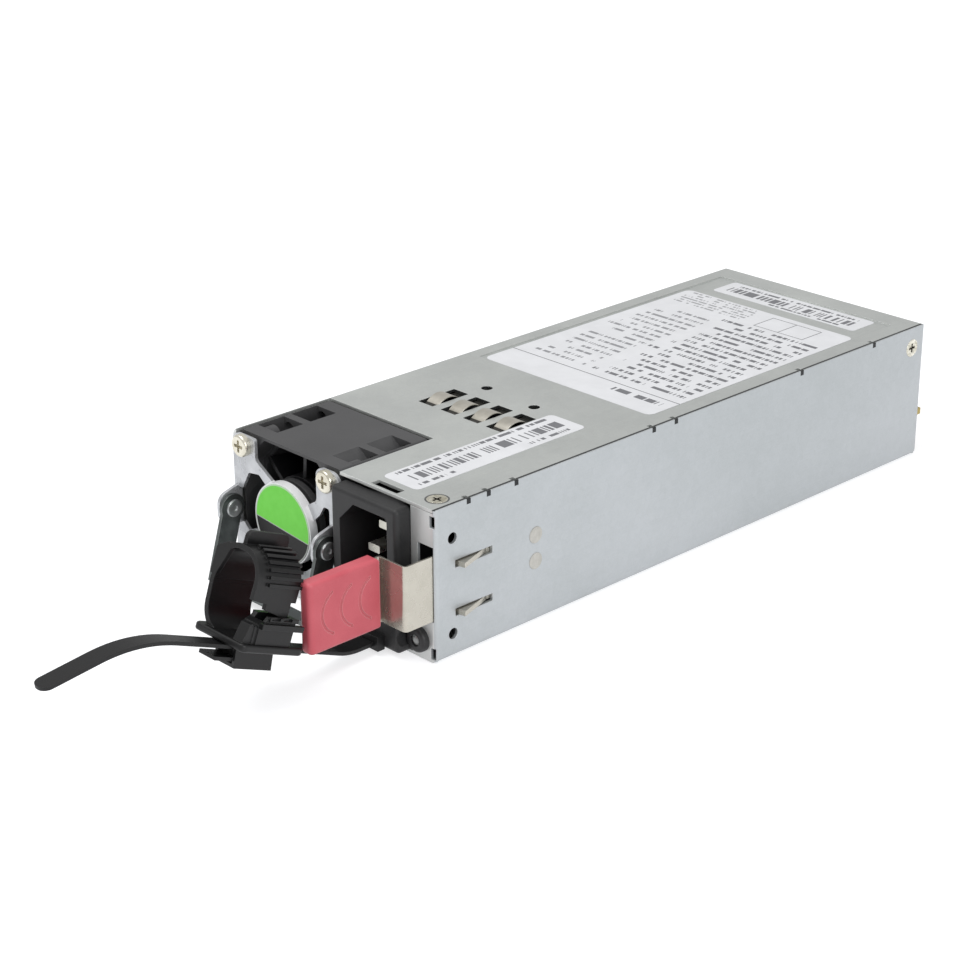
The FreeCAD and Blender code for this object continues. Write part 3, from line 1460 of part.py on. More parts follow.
def components():
    """The power train, from the mains filter at the front to the output at the back."""
    toroid("filter_choke", 12.5, front + 46, 9, 4, 12)
    keep("filter_capacitor", block("filter_capacitor", (6, front + 58, board_top),
                                   (24, front + 66, board_top + 15)))
    keep("relay", block("relay", (24, front + 43, board_top), (31.5, front + 55, board_top + 14)))
    fuse = rod("fuse_tube", "y", (31, front + 56, board_top + 3.2), 2.6, 20)
    keep("fuse", fuse)
    keep("bridge_rectifier", block("bridge_rectifier", (8, front + 69, board_top + 1),
                                   (28, front + 72.6, board_top + 18)))
    can("bulk_capacitors", [(-19, front + 36)], 12.6, 48, "y")
    toroid("boost_choke", 15, front + 87, 12, 5, 14)
    heat_sink("primary_heat_sink", -32, front + 90, 36, 24, 9)
    wound_core("main_transformer", -16, front + 104, 26, 26, 24)
    wound_core("resonant_choke", 18, front + 106, 14, 20, 20)
    heat_sink("secondary_heat_sink", 12, front + 134, 30, 22, 8)
    places = [(-26 + 10 * (i % 3), front + 140 + 10 * (i // 3)) for i in range(9)]
    can("output_capacitors", places, 4.1, 16, "z")
    keep("control_board", block("control_board", (28, front + 132, board_top),
                                (29.2, front + 166, board_top + 22)))
    power = []
    for index in range(4):
        y = front + 93 + index * 8
        power.append(block("transistor", (-29.9, y, board_top + 4), (-25.4, y + 6, board_top + 16)))
    keep("power_transistors", group("power_transistors", *power))
    keep("insulator_sheet", prism("insulator_sheet", "XY", sheet_thick + 0.1, sheet_thick + 0.5, [
        (board_left, board_front), (board_right, board_front),
        (board_right, back - 4), (board_left, back - 4),
    ], circles=[(x, y, standoff_radius + 0.3) for x, y in standoff_places()]))


# ---------------------------------------------------------------- build and write
chassis_tray()
top_cover()
cover_screws()
fan_guard()
fan_screws()
handle_bail()
handle_rivets()
fan_frame()
fan_rotor()
fan_motor()
inlet_housing()
inlet_pins()
status_lamp()
latch()
cord_strap()
clamp_base()
clamp_ring()
ground_springs()
main_board()
standoffs()
components()
doc.recompute()

faults = [thing.Name for thing in doc.Objects if "Invalid" in thing.State or "Error" in thing.State]
for piece in pieces:
    if piece.Shape.isNull() or not piece.Shape.isValid() or not piece.Shape.Solids:
        faults.append(piece.Label)
if faults:
    raise RuntimeError("not built: " + ", ".join(faults))

os.makedirs("parts", exist_ok=True)
for piece in pieces:
    piece.Shape.exportStep(os.path.join("parts", piece.Label + ".step"))
print("wrote %d parts" % len(pieces))
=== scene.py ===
import json
import math

import bmesh
import bpy
from mathutils import Matrix, Vector


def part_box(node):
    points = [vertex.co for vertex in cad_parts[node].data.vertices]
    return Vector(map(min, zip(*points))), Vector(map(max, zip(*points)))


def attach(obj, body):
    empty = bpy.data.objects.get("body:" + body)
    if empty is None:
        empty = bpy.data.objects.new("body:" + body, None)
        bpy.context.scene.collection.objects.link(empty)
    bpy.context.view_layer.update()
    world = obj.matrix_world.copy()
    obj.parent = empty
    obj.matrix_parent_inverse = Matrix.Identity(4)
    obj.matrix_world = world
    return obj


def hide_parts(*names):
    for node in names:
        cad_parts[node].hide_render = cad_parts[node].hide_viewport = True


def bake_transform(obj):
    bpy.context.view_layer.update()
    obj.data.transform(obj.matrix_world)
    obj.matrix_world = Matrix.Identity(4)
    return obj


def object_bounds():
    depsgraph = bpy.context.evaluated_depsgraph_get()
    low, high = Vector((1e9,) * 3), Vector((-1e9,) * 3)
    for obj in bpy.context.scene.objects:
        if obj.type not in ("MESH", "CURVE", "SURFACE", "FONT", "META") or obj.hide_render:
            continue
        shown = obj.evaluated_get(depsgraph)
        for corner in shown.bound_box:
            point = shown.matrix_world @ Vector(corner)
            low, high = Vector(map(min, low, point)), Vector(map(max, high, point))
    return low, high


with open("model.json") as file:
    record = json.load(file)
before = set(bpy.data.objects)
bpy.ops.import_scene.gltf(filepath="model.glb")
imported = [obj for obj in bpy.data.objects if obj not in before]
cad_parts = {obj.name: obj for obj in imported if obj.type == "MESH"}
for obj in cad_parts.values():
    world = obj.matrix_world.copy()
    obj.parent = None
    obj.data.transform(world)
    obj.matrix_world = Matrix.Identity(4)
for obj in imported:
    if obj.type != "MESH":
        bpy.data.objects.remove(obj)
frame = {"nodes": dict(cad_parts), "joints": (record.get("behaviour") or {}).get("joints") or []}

cad_low, cad_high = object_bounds()
MM = 0.001
NODES = frame["nodes"]

# ------------------------------------------------------------------ studio
# A pale seamless floor, two large soft lamps and a long lens that looks down
# on the inlet corner of the supply.  The floor shows white to the camera and in
# reflections, and keeps only a soft contact shadow.


class Wire:
    """A shader socket that ordinary arithmetic can be written on."""

    def __init__(self, finish, socket):
        self.finish = finish
        self.socket = socket

    def maths(self, operation, *values):
        return self.finish.node("Math", {"operation": operation}, dict(enumerate(values)))

    def __add__(self, other):
        return self.maths("ADD", self, other)

    def __radd__(self, other):
        return self.maths("ADD", other, self)

    def __sub__(self, other):
        return self.maths("SUBTRACT", self, other)

    def __rsub__(self, other):
        return self.maths("SUBTRACT", other, self)

    def __mul__(self, other):
        return self.maths("MULTIPLY", self, other)

    def __rmul__(self, other):
        return self.maths("MULTIPLY", other, self)

    def __truediv__(self, other):
        return self.maths("DIVIDE", self, other)

    def __rtruediv__(self, other):
        return self.maths("DIVIDE", other, self)

    def __mod__(self, other):
        return self.maths("FLOORED_MODULO", self, other)

    def __pow__(self, other):
        return self.maths("POWER", self, other)

    def __lt__(self, other):
        return self.maths("LESS_THAN", self, other)

    def __gt__(self, other):
        return self.maths("GREATER_THAN", self, other)

    def __abs__(self):
        return self.maths("ABSOLUTE", self)


class Finish:
    """A material with one main shader, and one way to add any other node."""

    def __init__(self, name, **settings):
        self.material = bpy.data.materials.new(name)
        self.material.use_nodes = True
        self.tree = self.material.node_tree
        self.shader = self.tree.nodes["Principled BSDF"]
        for socket, value in settings.items():
            self.shader.inputs[socket.replace("_", " ")].default_value = value

    def node(self, kind, settings, sockets, out=0):
        """Add a node: its settings first, then the values or links of its sockets."""
        node = self.tree.nodes.new("ShaderNode" + kind)
        for key, value in settings.items():
            if key == "stops":
                while len(node.color_ramp.elements) < len(value):
                    node.color_ramp.elements.new(1)
                for element, (place, colour) in zip(node.color_ramp.elements, value):
                    element.position = place
                    element.color = colour
            else:
                setattr(node, key, value)
        for key, value in sockets.items():
            if isinstance(value, Wire):
                self.tree.links.new(value.socket, node.inputs[key])
            else:
                node.inputs[key].default_value = value
        return Wire(self, node.outputs[out])

    def place(self):
        """Where a point lies on the piece, in metres."""
        return self.node("TexCoord", {}, {}, "Object")

    def axes(self, place=None):
        """The three coordinates of a point, each by itself."""
        split = self.node("SeparateXYZ", {}, {0: place or self.place()})
        outputs = split.socket.node.outputs
        return [Wire(self, outputs[i]) for i in range(3)]

    def noise(self, size, detail=3, roughness=0.55, stretch=(1, 1, 1)):
        """Soft clouds of about the given size in millimetres, drawn out along an axis."""
        place = self.node("VectorMath", {"operation": "MULTIPLY"}, {
            0: self.place(), 1: tuple(1 / (size * MM * s) for s in stretch)})
        return self.node("TexNoise", {}, {
            "Vector": place, "Scale": 1, "Detail": detail, "Roughness": roughness}, "Fac")

    def ramp(self, value, *stops):
        """A value turned into a colour, from (place, colour) stops."""
        return self.node("ValToRGB", {"stops": stops}, {0: value})

    def span(self, value, low, high, start=0.0, stop=1.0):
        """A value carried from one range to another and kept inside it."""
        return self.node("MapRange", {}, {
            "Value": value, "From Min": low, "From Max": high, "To Min": start, "To Max": stop})

    def mix(self, factor, first, second):
        """Two colours mixed."""
        return self.node("Mix", {"data_type": "RGBA"}, {0: factor, 6: first, 7: second}, 2)

    def feed(self, **wires):
        """Link varying values to the main shader."""
        for socket, wire in wires.items():
            self.tree.links.new(wire.socket, self.shader.inputs[socket.replace("_", " ")])
        return self

    def rounded(self, radius):
        """The surface's direction with every sharp edge eased by a radius in millimetres."""
        return self.node("Bevel", {"samples": 6}, {"Radius": radius * MM}, "Normal")

    def edges(self, radius):
        """One along sharp edges and nothing on flat faces."""
        facing = self.node("NewGeometry", {}, {}, "True Normal")
        along = self.node("VectorMath", {"operation": "DOT_PRODUCT"}, {
            0: self.rounded(radius), 1: facing}, "Value")
        return self.span(1 - along, 0.01, 0.2)

    def relief(self, height, depth, radius=0.15, strength=1.0):
        """Raise the surface by a height map and ease its edges; both in millimetres."""
        bump = self.node("Bump", {}, {
            "Height": height, "Distance": depth * MM, "Strength": strength, "Normal": self.rounded(radius)})
        return self.feed(Normal=bump)


def tone(code, alpha=1.0):
    """A hex colour as the linear colour that a shader takes."""
    channels = [int(code[i:i + 2], 16) / 255 for i in (0, 2, 4)]
    return tuple(c / 12.92 if c <= 0.04045 else ((c + 0.055) / 1.055) ** 2.4 for c in channels) + (alpha,)


def dress(finish, *names):
    """Give CAD nodes a finish."""
    for name in names:
        mesh = NODES[name].data
        mesh.materials.clear()
        mesh.materials.append(finish.material)


FLOOR_GAP = 0.2
FLOOR_REACH = 6
floor_low = cad_low.z - FLOOR_GAP * MM
floor_mesh = bpy.data.meshes.new("studio_floor")
floor_mesh.from_pydata(
    [(x * FLOOR_REACH, y * FLOOR_REACH, floor_low) for x, y in ((-1, -1), (1, -1), (1, 1), (-1, 1))],
    [], [(0, 1, 2, 3)])
floor = bpy.data.objects.new("studio_floor", floor_mesh)
bpy.context.scene.collection.objects.link(floor)


def any_of(first, *others):
    """The union of several masks."""
    for other in others:
        first = first.maths("MAXIMUM", first, other)
    return first


def looked_at(finish):
    """One for rays that end in the camera, straight or by way of a gloss or a lens."""
    return any_of(*(finish.node("LightPath", {}, {}, ray) for ray in (
        "Is Camera Ray", "Is Glossy Ray", "Is Transmission Ray")))


floor_finish = Finish("studio_floor", Base_Color=tone("c4c5c7"), Roughness=0.9, Emission_Strength=1.0)
floor_finish.shader.inputs["Specular IOR Level"].default_value = 0
floor_finish.feed(Emission_Color=floor_finish.mix(
    looked_at(floor_finish), tone("000000"), (0.66, 0.66, 0.665, 1)))
floor_mesh.materials.append(floor_finish.material)

world = bpy.data.worlds.new("studio")
world.use_nodes = True
bpy.context.scene.world = world
sky = world.node_tree.nodes["Background"]
sky_rays = world.node_tree.nodes.new("ShaderNodeLightPath")
sky_level = world.node_tree.nodes.new("ShaderNodeMapRange")
sky_level.inputs["To Min"].default_value = 0.62
sky_level.inputs["To Max"].default_value = 1.0
world.node_tree.links.new(sky_rays.outputs["Is Camera Ray"], sky_level.inputs["Value"])
world.node_tree.links.new(sky_level.outputs["Result"], sky.inputs["Strength"])
sky.inputs["Color"].default_value = tone("ffffff")


def lamp(name, place, target, size, power):
    """A square soft lamp that faces a target."""
    light = bpy.data.lights.new(name, "AREA")
    light.shape = "SQUARE"
    light.size = size
    light.energy = power
    holder = bpy.data.objects.new(name, light)
    bpy.context.scene.collection.objects.link(holder)
    holder.location = place
    holder.rotation_euler = (Vector(target) - Vector(place)).to_track_quat("-Z", "Y").to_euler()
    return holder


lamp("lamp_over", (-0.25, -0.35, 0.95), (0, -0.02, 0.02), 0.7, 4.8)
lamp("lamp_side", (0.95, -0.35, 0.45), (0, -0.02, 0.02), 0.6, 4.4)

camera_turn = math.radians(46.261)
camera_drop = math.radians(22.890)
camera_roll = math.radians(-0.269)
camera_data = bpy.data.cameras.new("camera")
camera_data.sensor_width = 36
camera_data.lens = 86.093
camera_data.clip_end = 50
camera = bpy.data.objects.new("camera", camera_data)
camera.matrix_world = (
    Matrix.Translation((387.511 * MM, -413.91 * MM, 247.528 * MM))
    @ Matrix.Rotation(camera_turn, 4, "Z")
    @ Matrix.Rotation(math.radians(90) - camera_drop, 4, "X")
    @ Matrix.Rotation(camera_roll, 4, "Z"))
bpy.context.scene.collection.objects.link(camera)
bpy.context.scene.camera = camera

bpy.context.scene.view_settings.view_transform = "Standard"

# ------------------------------------------------------------------ case sheets
# Tray and cover are folded from 0.8 mm hot-dip galvanised steel and meet along the
# right top edge, where the seam and its notches are darkened by painted shade.  The zinc
# has rolling lines, a fine spangle, dull patches and hair scratches; the cut walls inside
# the windows and a ring round the top screw carry painted shade, the front faces painted
# light, and the sharp edges both edge wear and a painted highlight.
CASE_LOW, CASE_HIGH = (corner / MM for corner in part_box("chassis_tray"))
CASE_FRONT = CASE_LOW.y
CASE_TOP = CASE_HIGH.z
SEAM_NOTCHES = (10, 16.4, 25.4, 73.2, 81.4, 131, 162)
WINDOW_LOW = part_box("ground_springs")[0] / MM - Vector((3, 3, 0))
WINDOW_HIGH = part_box("ground_springs")[1] / MM + Vector((3, 9, 0))
TOP_SCREW = (CASE_HIGH.x - 4.9, CASE_FRONT + 5.3)
SCREW_HEAD, SCREW_SEAT = 2.3, 2.95
COVER_FACE, COVER_BACK = CASE_TOP - 0.07, CASE_TOP - 0.78
NOTCH_LONG, NOTCH_TALL = 1.3, 1.3
SEAM_SPAN = (CASE_HIGH.x - 1.0, CASE_HIGH.x - 0.3, CASE_TOP - 0.16)


def within(value, low, high):
    """One between two limits and nothing outside them."""
    return (value > low) * (value < high)


def rolled_zinc(name, dark, light):
    """Bright zinc sheet with rolling lines, spangle, dull patches and hair scratches; edges lightened as
    wear and painted highlight, front faces lightened as painted light, and painted shade in the seam,
    notches, window walls and screw seat.
    """
    finish = Finish(name, Metallic=0.5)
    patches = finish.noise(26, 3, 0.5)
    lines = finish.noise(0.32, 2, 0.5, stretch=(1, 90, 1))
    cells = finish.node("TexVoronoi", {"feature": "F1"}, {
        "Vector": finish.place(), "Scale": 1 / (1.7 * MM), "Randomness": 1}, "Color")
    spangle = finish.axes(cells)[0]
    grain = finish.noise(0.5, 4, 0.7)
    hairs = finish.noise(0.12, 1, 0.4, stretch=(1, 160, 1))
    scratch = finish.span(hairs, 0.74, 0.8) * finish.span(finish.noise(9, 2), 0.52, 0.62)
    level = patches * 0.5 + lines * 0.1 + spangle * 0.05 + grain * 0.35
    sheet = finish.ramp(finish.span(level, 0.36, 0.64), (0.0, tone(dark)), (1.0, tone(light)))
    scuffed = finish.mix(scratch * 0.3, sheet, tone("dfe2e2"))
    x, y, z = (axis / MM for axis in finish.axes())
    # Faces at the case front are mixed towards pale grey: painted light on the front.
    front_painted_light = finish.mix((y < CASE_FRONT + 0.05) * 0.75, scuffed, tone("e2e3e1"))
    # Sharp edges are lightened, partly as edge wear and partly as a painted highlight.
    wear_and_painted_light = finish.mix(finish.edges(0.25) * 0.45, front_painted_light, tone("eceeed"))
    # A thin band of the wall's top under the cover's edge is painted near black: painted shadow in the
    # seam.
    seam_shadow = within(x, SEAM_SPAN[0], SEAM_SPAN[1]) * (z > SEAM_SPAN[2])
    # Small patches below the seam are painted near black: painted shade standing in for the notch openings.
    notch_shade = (x > SEAM_SPAN[1]) * (z > CASE_TOP - NOTCH_TALL) * any_of(*(
        within(y, CASE_FRONT + place, CASE_FRONT + place + NOTCH_LONG) for place in SEAM_NOTCHES))
    window = within(x, WINDOW_LOW.x, WINDOW_HIGH.x) * within(y, WINDOW_LOW.y, WINDOW_HIGH.y)
    # The cut walls inside the spring windows are painted near black: painted shade.
    cut_wall_shade = window * within(z, COVER_BACK, COVER_FACE)
    # A ring just outside the top screw's head is painted dark: painted shadow in the gap round the seat.
    from_screw = ((x - TOP_SCREW[0]) * (x - TOP_SCREW[0])
                  + (y - TOP_SCREW[1]) * (y - TOP_SCREW[1])) ** 0.5
    seat_shadow = within(from_screw, SCREW_HEAD, SCREW_SEAT) * (z > CASE_TOP - 1)
    # All the painted shade masks are mixed in here as near black.
    wear_and_painted_light = finish.mix(any_of(seam_shadow * 0.95, notch_shade, cut_wall_shade * 0.95, seat_shadow * 0.8), wear_and_painted_light, tone("232526"))
    rough = finish.span(patches * 0.6 + grain * 0.4, 0.35, 0.65, 0.38, 0.48) - spangle * 0.01
    finish.feed(Base_Color=wear_and_painted_light, Roughness=rough)
    return finish.relief(grain * 0.8 + lines * 0.2, 0.01, 0.22, 0.4)


dress(rolled_zinc("cover_zinc", "b3b6b4", "c5c8c5"), "top_cover")
dress(rolled_zinc("tray_zinc", "b3b8ba", "c2c6c9"), "chassis_tray")

# ------------------------------------------------------------------ ground springs
# Four sprung fingers bent up through windows in the cover, one strip of nickel-plated
# spring steel that is riveted on from below.
def plated(name, dark, light, low_rough, high_rough,
           grain_along=(1, 1, 1), bright="efece2", depth=0.006):
    """Plated steel: a soft bright film with a faint grain; its colour is kept as colour."""
    finish = Finish(name, Metallic=0.8)
    clouds = finish.noise(5, 3)
    grain = finish.noise(0.14, 3, 0.6, stretch=grain_along)
    film = finish.ramp(clouds * 0.92 + grain * 0.08, (0.32, tone(dark)), (0.66, tone(light)))
    finish.colour = finish.mix(finish.edges(0.12) * 0.6, film, tone(bright))
    finish.feed(
        Base_Color=finish.colour,
        Roughness=finish.span(clouds * 0.9 + grain * 0.1, 0.3, 0.7, low_rough, high_rough))
    return finish.relief(grain, depth, 0.1, 0.25)


spring_nickel = plated("spring_nickel", "b0aca1", "c6c2b8", 0.26, 0.36, (40, 1, 40), depth=0.002)
strip_height = spring_nickel.axes()[2] / MM
# Below the cover's underside the strip is painted near black: painted shade inside the windows.
spring_nickel.feed(Base_Color=spring_nickel.mix(
    (strip_height < CASE_TOP - 0.55) * 0.9, spring_nickel.colour, tone("161614")))
dress(spring_nickel, "ground_springs")

# ------------------------------------------------------------------ case fasteners
# Countersunk and pan-head cross-recess screws in yellowish nickel hold cover, tray and
# board; the latch strip's two spot welds show as dull discs in the right wall.
screw_nickel = plated("screw_nickel", "cbc6b4", "eae6d8", 0.2, 0.32, bright="fdfaf0")
dress(screw_nickel, "fan_screws", "board_screws", "standoffs")

sunk_nickel = plated("sunk_nickel", "b5b09c", "f1eee2", 0.2, 0.32, bright="fdfaf0")
head_x, head_y, head_z = (axis / MM for axis in sunk_nickel.axes())
# The cross recesses of the countersunk heads, on top and on the side, are painted dark: painted shade.
top_cross_shade = (head_z < CASE_TOP - 0.08) * (head_y < CASE_FRONT + 20)
side_cross_shade = (head_x < CASE_HIGH.x - 0.08) * (head_y > CASE_FRONT + 20)
driver_wear = sunk_nickel.span(sunk_nickel.noise(0.8, 3), 0.5, 0.56)
worn_head = sunk_nickel.mix(driver_wear * 0.45, sunk_nickel.colour, tone("8b8672"))
sunk_nickel.feed(Base_Color=sunk_nickel.mix(
    any_of(top_cross_shade, side_cross_shade) * 0.9, worn_head, tone("3c392f")))
dress(sunk_nickel, "cover_screws")

weld_disc = Finish("weld_disc", Metallic=0.5)
weld_stain = weld_disc.noise(1.6, 4, 0.6)
weld_disc.feed(
    Base_Color=weld_disc.ramp(weld_stain, (0.35, tone("b9b7b0")), (0.65, tone("cbc9c3"))),
    Roughness=weld_disc.span(weld_stain, 0.3, 0.7, 0.5, 0.68))
weld_disc.relief(weld_disc.noise(0.35, 3), 0.03, 0.2)
dress(weld_disc, "latch_welds")

# ------------------------------------------------------------------ printed labels
# Three sheets of white polyester film stuck to the cover: a long serial strip, a large
# rating plate in the shallow recess and a stock label behind it.  They are printed with
# plain rules and stripes only.
FILM = 0.09
DASH = 0.42
LABEL_DROP = 0.35


def film_sheet(name, x, y, z, corner, film=FILM):
    """A rounded sheet of film lying flat, from its spans in millimetres."""
    outline = []
    for centre_x, centre_y, first in (
            (x[1] - corner, y[1] - corner, 0), (x[0] + corner, y[1] - corner, 90),
            (x[0] + corner, y[0] + corner, 180), (x[1] - corner, y[0] + corner, 270)):
        for step in range(9):
            turn = math.radians(first + step * 90 / 8)
            outline.append((centre_x + corner * math.cos(turn), centre_y + corner * math.sin(turn)))
    mesh = bpy.data.meshes.new(name)
    build = bmesh.new()
    bottom = [build.verts.new((px * MM, py * MM, z * MM)) for px, py in outline]
    side = [build.verts.new((px * MM, py * MM, (z + film * 0.6) * MM)) for px, py in outline]
    middle_x = (x[0] + x[1]) / 2
    middle_y = (y[0] + y[1]) / 2
    top = []
    for px, py in outline:
        reach = math.hypot(px - middle_x, py - middle_y)
        ease = 1 - 0.08 / reach
        top.append(build.verts.new((
            (middle_x + (px - middle_x) * ease) * MM, (middle_y + (py - middle_y) * ease) * MM,
            (z + film) * MM)))
    count = len(outline)
    for ring_a, ring_b in ((bottom, side), (side, top)):
        for index in range(count):
            build.faces.new((ring_a[index], ring_a[(index + 1) % count],
                             ring_b[(index + 1) % count], ring_b[index]))
    build.faces.new(top)
    build.faces.new(list(reversed(bottom)))
    build.normal_update()
    build.to_mesh(mesh)
    build.free()
    thing = bpy.data.objects.new(name, mesh)
    bpy.context.scene.collection.objects.link(thing)
    return thing


def floor_of(value):
    """The whole number below a value."""
    return value.maths("FLOOR", value)


def chance(finish, first, second, seed):
    """A number from nothing to one that differs in every cell."""
    cell = finish.node("CombineXYZ", {}, {0: first, 1: second, 2: seed})
    return finish.node("TexWhiteNoise", {"noise_dimensions": "3D"}, {"Vector": cell}, "Value")


def rules(finish, along, across, span, rows, tall, seed, word=1.5, shortest=0.35):
    """Lines of short dashes: (first, pitch, count) across, each of a length of its own."""
    first, pitch, count = rows
    place = (across - first) / pitch
    row = floor_of(place)
    in_line = ((place % 1) < tall / pitch) * within(across, first, first + pitch * count)
    start, stop = span
    reach = chance(finish, row, seed, 1.5) * (1 - shortest) + shortest
    run = (along - start) / (stop - start)
    inked_word = chance(finish, floor_of(along / word), row, seed) > 0.14
    inked_dash = chance(finish, floor_of(along / DASH), row, seed + 9) > 0.3
    return in_line * (run > 0) * (run < reach) * inked_word * inked_dash


def stripes(finish, along, across, span, wide, seed, pitch=0.5):
    """A block of upright stripes of uneven width."""
    inked = chance(finish, floor_of(along / pitch), 0.5, seed) > 0.4
    return within(along, *span) * within(across, *wide) * inked


def printed_film(name, marks, paper="d9dadd", ink="3f4047"):
    """Satin film with grey print, a faint mottle and a soft sheen."""
    finish = Finish(name, Coat_Roughness=0.25)
    x, y, z = (axis / MM for axis in finish.axes())
    mottle = finish.noise(6, 3)
    sheet = finish.ramp(mottle, (0.3, tone(paper)), (0.7, tone("e0e1e4")))
    inked = finish.mix(marks(finish, x, y - CASE_FRONT) * 0.85, sheet, tone(ink))
    finish.feed(
        Base_Color=inked,
        Roughness=finish.span(mottle, 0.3, 0.7, 0.34, 0.44))
    return finish.relief(finish.noise(1.8, 2), 0.008, 0.05)


def serial_marks(finish, x, y):
    """Two lines of dashes with a long stripe code between them, read along the case."""
    return any_of(
        stripes(finish, y, x, (9, 59), (16.9, 20.6), 3),
        rules(finish, y, x, (8, 60), (13.7, 2, 1), 1.25, 5, shortest=0.95),
        rules(finish, y, x, (8, 22), (22.3, 2, 1), 1.2, 6, shortest=0.8),
        rules(finish, y, x, (44, 60), (22.3, 2, 1), 1.2, 8, shortest=0.8))


def rating_marks(finish, x, y):
    """Head rule, a column of dashes, ruled boxes and a foot band, read across the case."""
    across = 200 - y
    right = 60 - x
    head = within(y, 90.6, 90.95) * within(x, -29.9, 30)
    title = rules(finish, right, across, (33, 50), (111.6, 4, 1), 2.2, 11, word=2.2, shortest=0.95)
    lines = rules(finish, right, across, (32, 66), (50.6, 3.35, 17), 1.4, 12, word=2.3, shortest=0.75)
    side = rules(finish, right, across, (67, 87), (54.0, 3.35, 16), 1.2, 13, word=3.4, shortest=0.6)
    small = rules(finish, right, across, (62, 88), (38.4, 1.7, 6), 0.8, 14, word=1.1, shortest=0.85)
    seal_rule = any_of(
        within(y, 151.2, 151.5), within(y, 159.8, 160.1),
        within(x, 12, 12.3), within(x, 3.6, 3.9), within(x, 20.6, 20.9)
    ) * within(y, 151.2, 160.1) * within(x, 3.6, 20.9)
    return any_of(head, title, lines, side * 0.8, small * 0.7, seal_rule)


def stock_marks(finish, x, y):
    """Two stripe codes with a line of dashes beside each."""
    return any_of(
        stripes(finish, x, y, (-22, 4), (169.6, 173.2), 21),
        stripes(finish, x, y, (5.6, 22.5), (169.6, 173.2), 22),
        rules(finish, 60 - x, y, (38, 82), (174.4, 2, 1), 1.1, 23, shortest=0.95),
        rules(finish, 60 - x, y, (40, 66), (167.9, 2, 1), 0.9, 24, shortest=0.9))


for label_name, spans, base, corner, marks in (
        ("serial_label", ((12.8, 25), (5.3, 62)), CASE_TOP, 1.6, serial_marks),
        ("rating_label", ((-29.9, 30), (79.6, 162.5)), CASE_TOP - LABEL_DROP, 2.2, rating_marks),
        ("stock_label", ((-25, 26), (167, 177.3)), CASE_TOP - LABEL_DROP, 1.2, stock_marks)):
    label = film_sheet(label_name, spans[0], tuple(CASE_FRONT + v for v in spans[1]), base + 0.005, corner)
    label.data.materials.append(printed_film(label_name, marks).material)
    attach(label, "supply")

# ------------------------------------------------------------------ fan
# A 38 mm axial fan: a square duct and a seven-blade rotor moulded in black glass-filled
# nylon, a ferrite magnet ring inside the hub, a wound stator and a bronze sleeve bearing.
def moulded(name, dark, light, grain, depth, low_rough, high_rough, ease=0.15):
    """Moulded plastic with a spark-eroded texture, slight bloom and softened edges."""
    finish = Finish(name, Specular_IOR_Level=0.38)
    bloom = finish.noise(11, 3)
    skin = finish.noise(grain, 3, 0.65)
    base = finish.ramp(bloom * 0.6 + skin * 0.4, (0.33, tone(dark)), (0.67, tone(light)))
    # Sharp edges are mixed a little towards a lighter grey.
    edge_lightened = finish.mix(finish.edges(ease) * 0.15, base, tone("6a6a6c"))
    finish.feed(
        Base_Color=edge_lightened,
        Roughness=finish.span(skin * 0.6 + bloom * 0.4, 0.3, 0.7, low_rough, high_rough))
    return finish.relief(skin, depth, ease)


duct_nylon = moulded("duct_nylon", "3f3f40", "4b4b4c", 0.4, 0.02, 0.4, 0.54)
dress(duct_nylon, "fan_frame")

# The duct's mouth widens to an octagon between its screw corners, cut into a copy of it.
HUB = Vector(next(j for j in frame["joints"] if j["name"] == "fan_spin")["pos_m"]) / MM
MOUTH_DEEP = 5.5
MOUTH_HALF = 18.35
MOUTH_FLAT = 10.1
duct_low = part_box("fan_frame")[0] / MM
mouth_outline = [
    (MOUTH_FLAT, MOUTH_HALF), (MOUTH_HALF, MOUTH_FLAT),
    (MOUTH_HALF, -MOUTH_FLAT), (MOUTH_FLAT, -MOUTH_HALF),
    (-MOUTH_FLAT, -MOUTH_HALF), (-MOUTH_HALF, -MOUTH_FLAT),
    (-MOUTH_HALF, MOUTH_FLAT), (-MOUTH_FLAT, MOUTH_HALF)]
cutter_mesh = bpy.data.meshes.new("mouth_cutter")
cutter_build = bmesh.new()
cutter_rings = [
    [cutter_build.verts.new(((HUB.x + x * scale) * MM, y * MM, (HUB.z + z * scale) * MM))
     for x, z in mouth_outline]
    for y, scale in ((duct_low.y - 1, 1.0), (duct_low.y + MOUTH_DEEP, 0.965))]
for index in range(8):
    after = (index + 1) % 8
    cutter_build.faces.new((cutter_rings[0][index], cutter_rings[0][after],
                            cutter_rings[1][after], cutter_rings[1][index]))
cutter_build.faces.new(cutter_rings[1])
cutter_build.faces.new(list(reversed(cutter_rings[0])))
bmesh.ops.recalc_face_normals(cutter_build, faces=cutter_build.faces)
cutter_build.to_mesh(cutter_mesh)
cutter_build.free()
cutter = bpy.data.objects.new("mouth_cutter", cutter_mesh)
bpy.context.scene.collection.objects.link(cutter)

blank_mesh = NODES["fan_frame"].data.copy()
blank_build = bmesh.new()
blank_build.from_mesh(blank_mesh)
bmesh.ops.remove_doubles(blank_build, verts=blank_build.verts, dist=1e-6)
blank_build.to_mesh(blank_mesh)
blank_build.free()
blank = bpy.data.objects.new("fan_duct_blank", blank_mesh)
bpy.context.scene.collection.objects.link(blank)
milling = blank.modifiers.new("mouth", "BOOLEAN")
milling.operation = "DIFFERENCE"
milling.solver = "EXACT"
milling.object = cutter
graph = bpy.context.evaluated_depsgraph_get()
duct_mesh = bpy.data.meshes.new_from_object(blank.evaluated_get(graph), depsgraph=graph)
fan_duct = bpy.data.objects.new("fan_duct", duct_mesh)
bpy.context.scene.collection.objects.link(fan_duct)
for scrap in (blank, cutter):
    bpy.data.objects.remove(scrap)

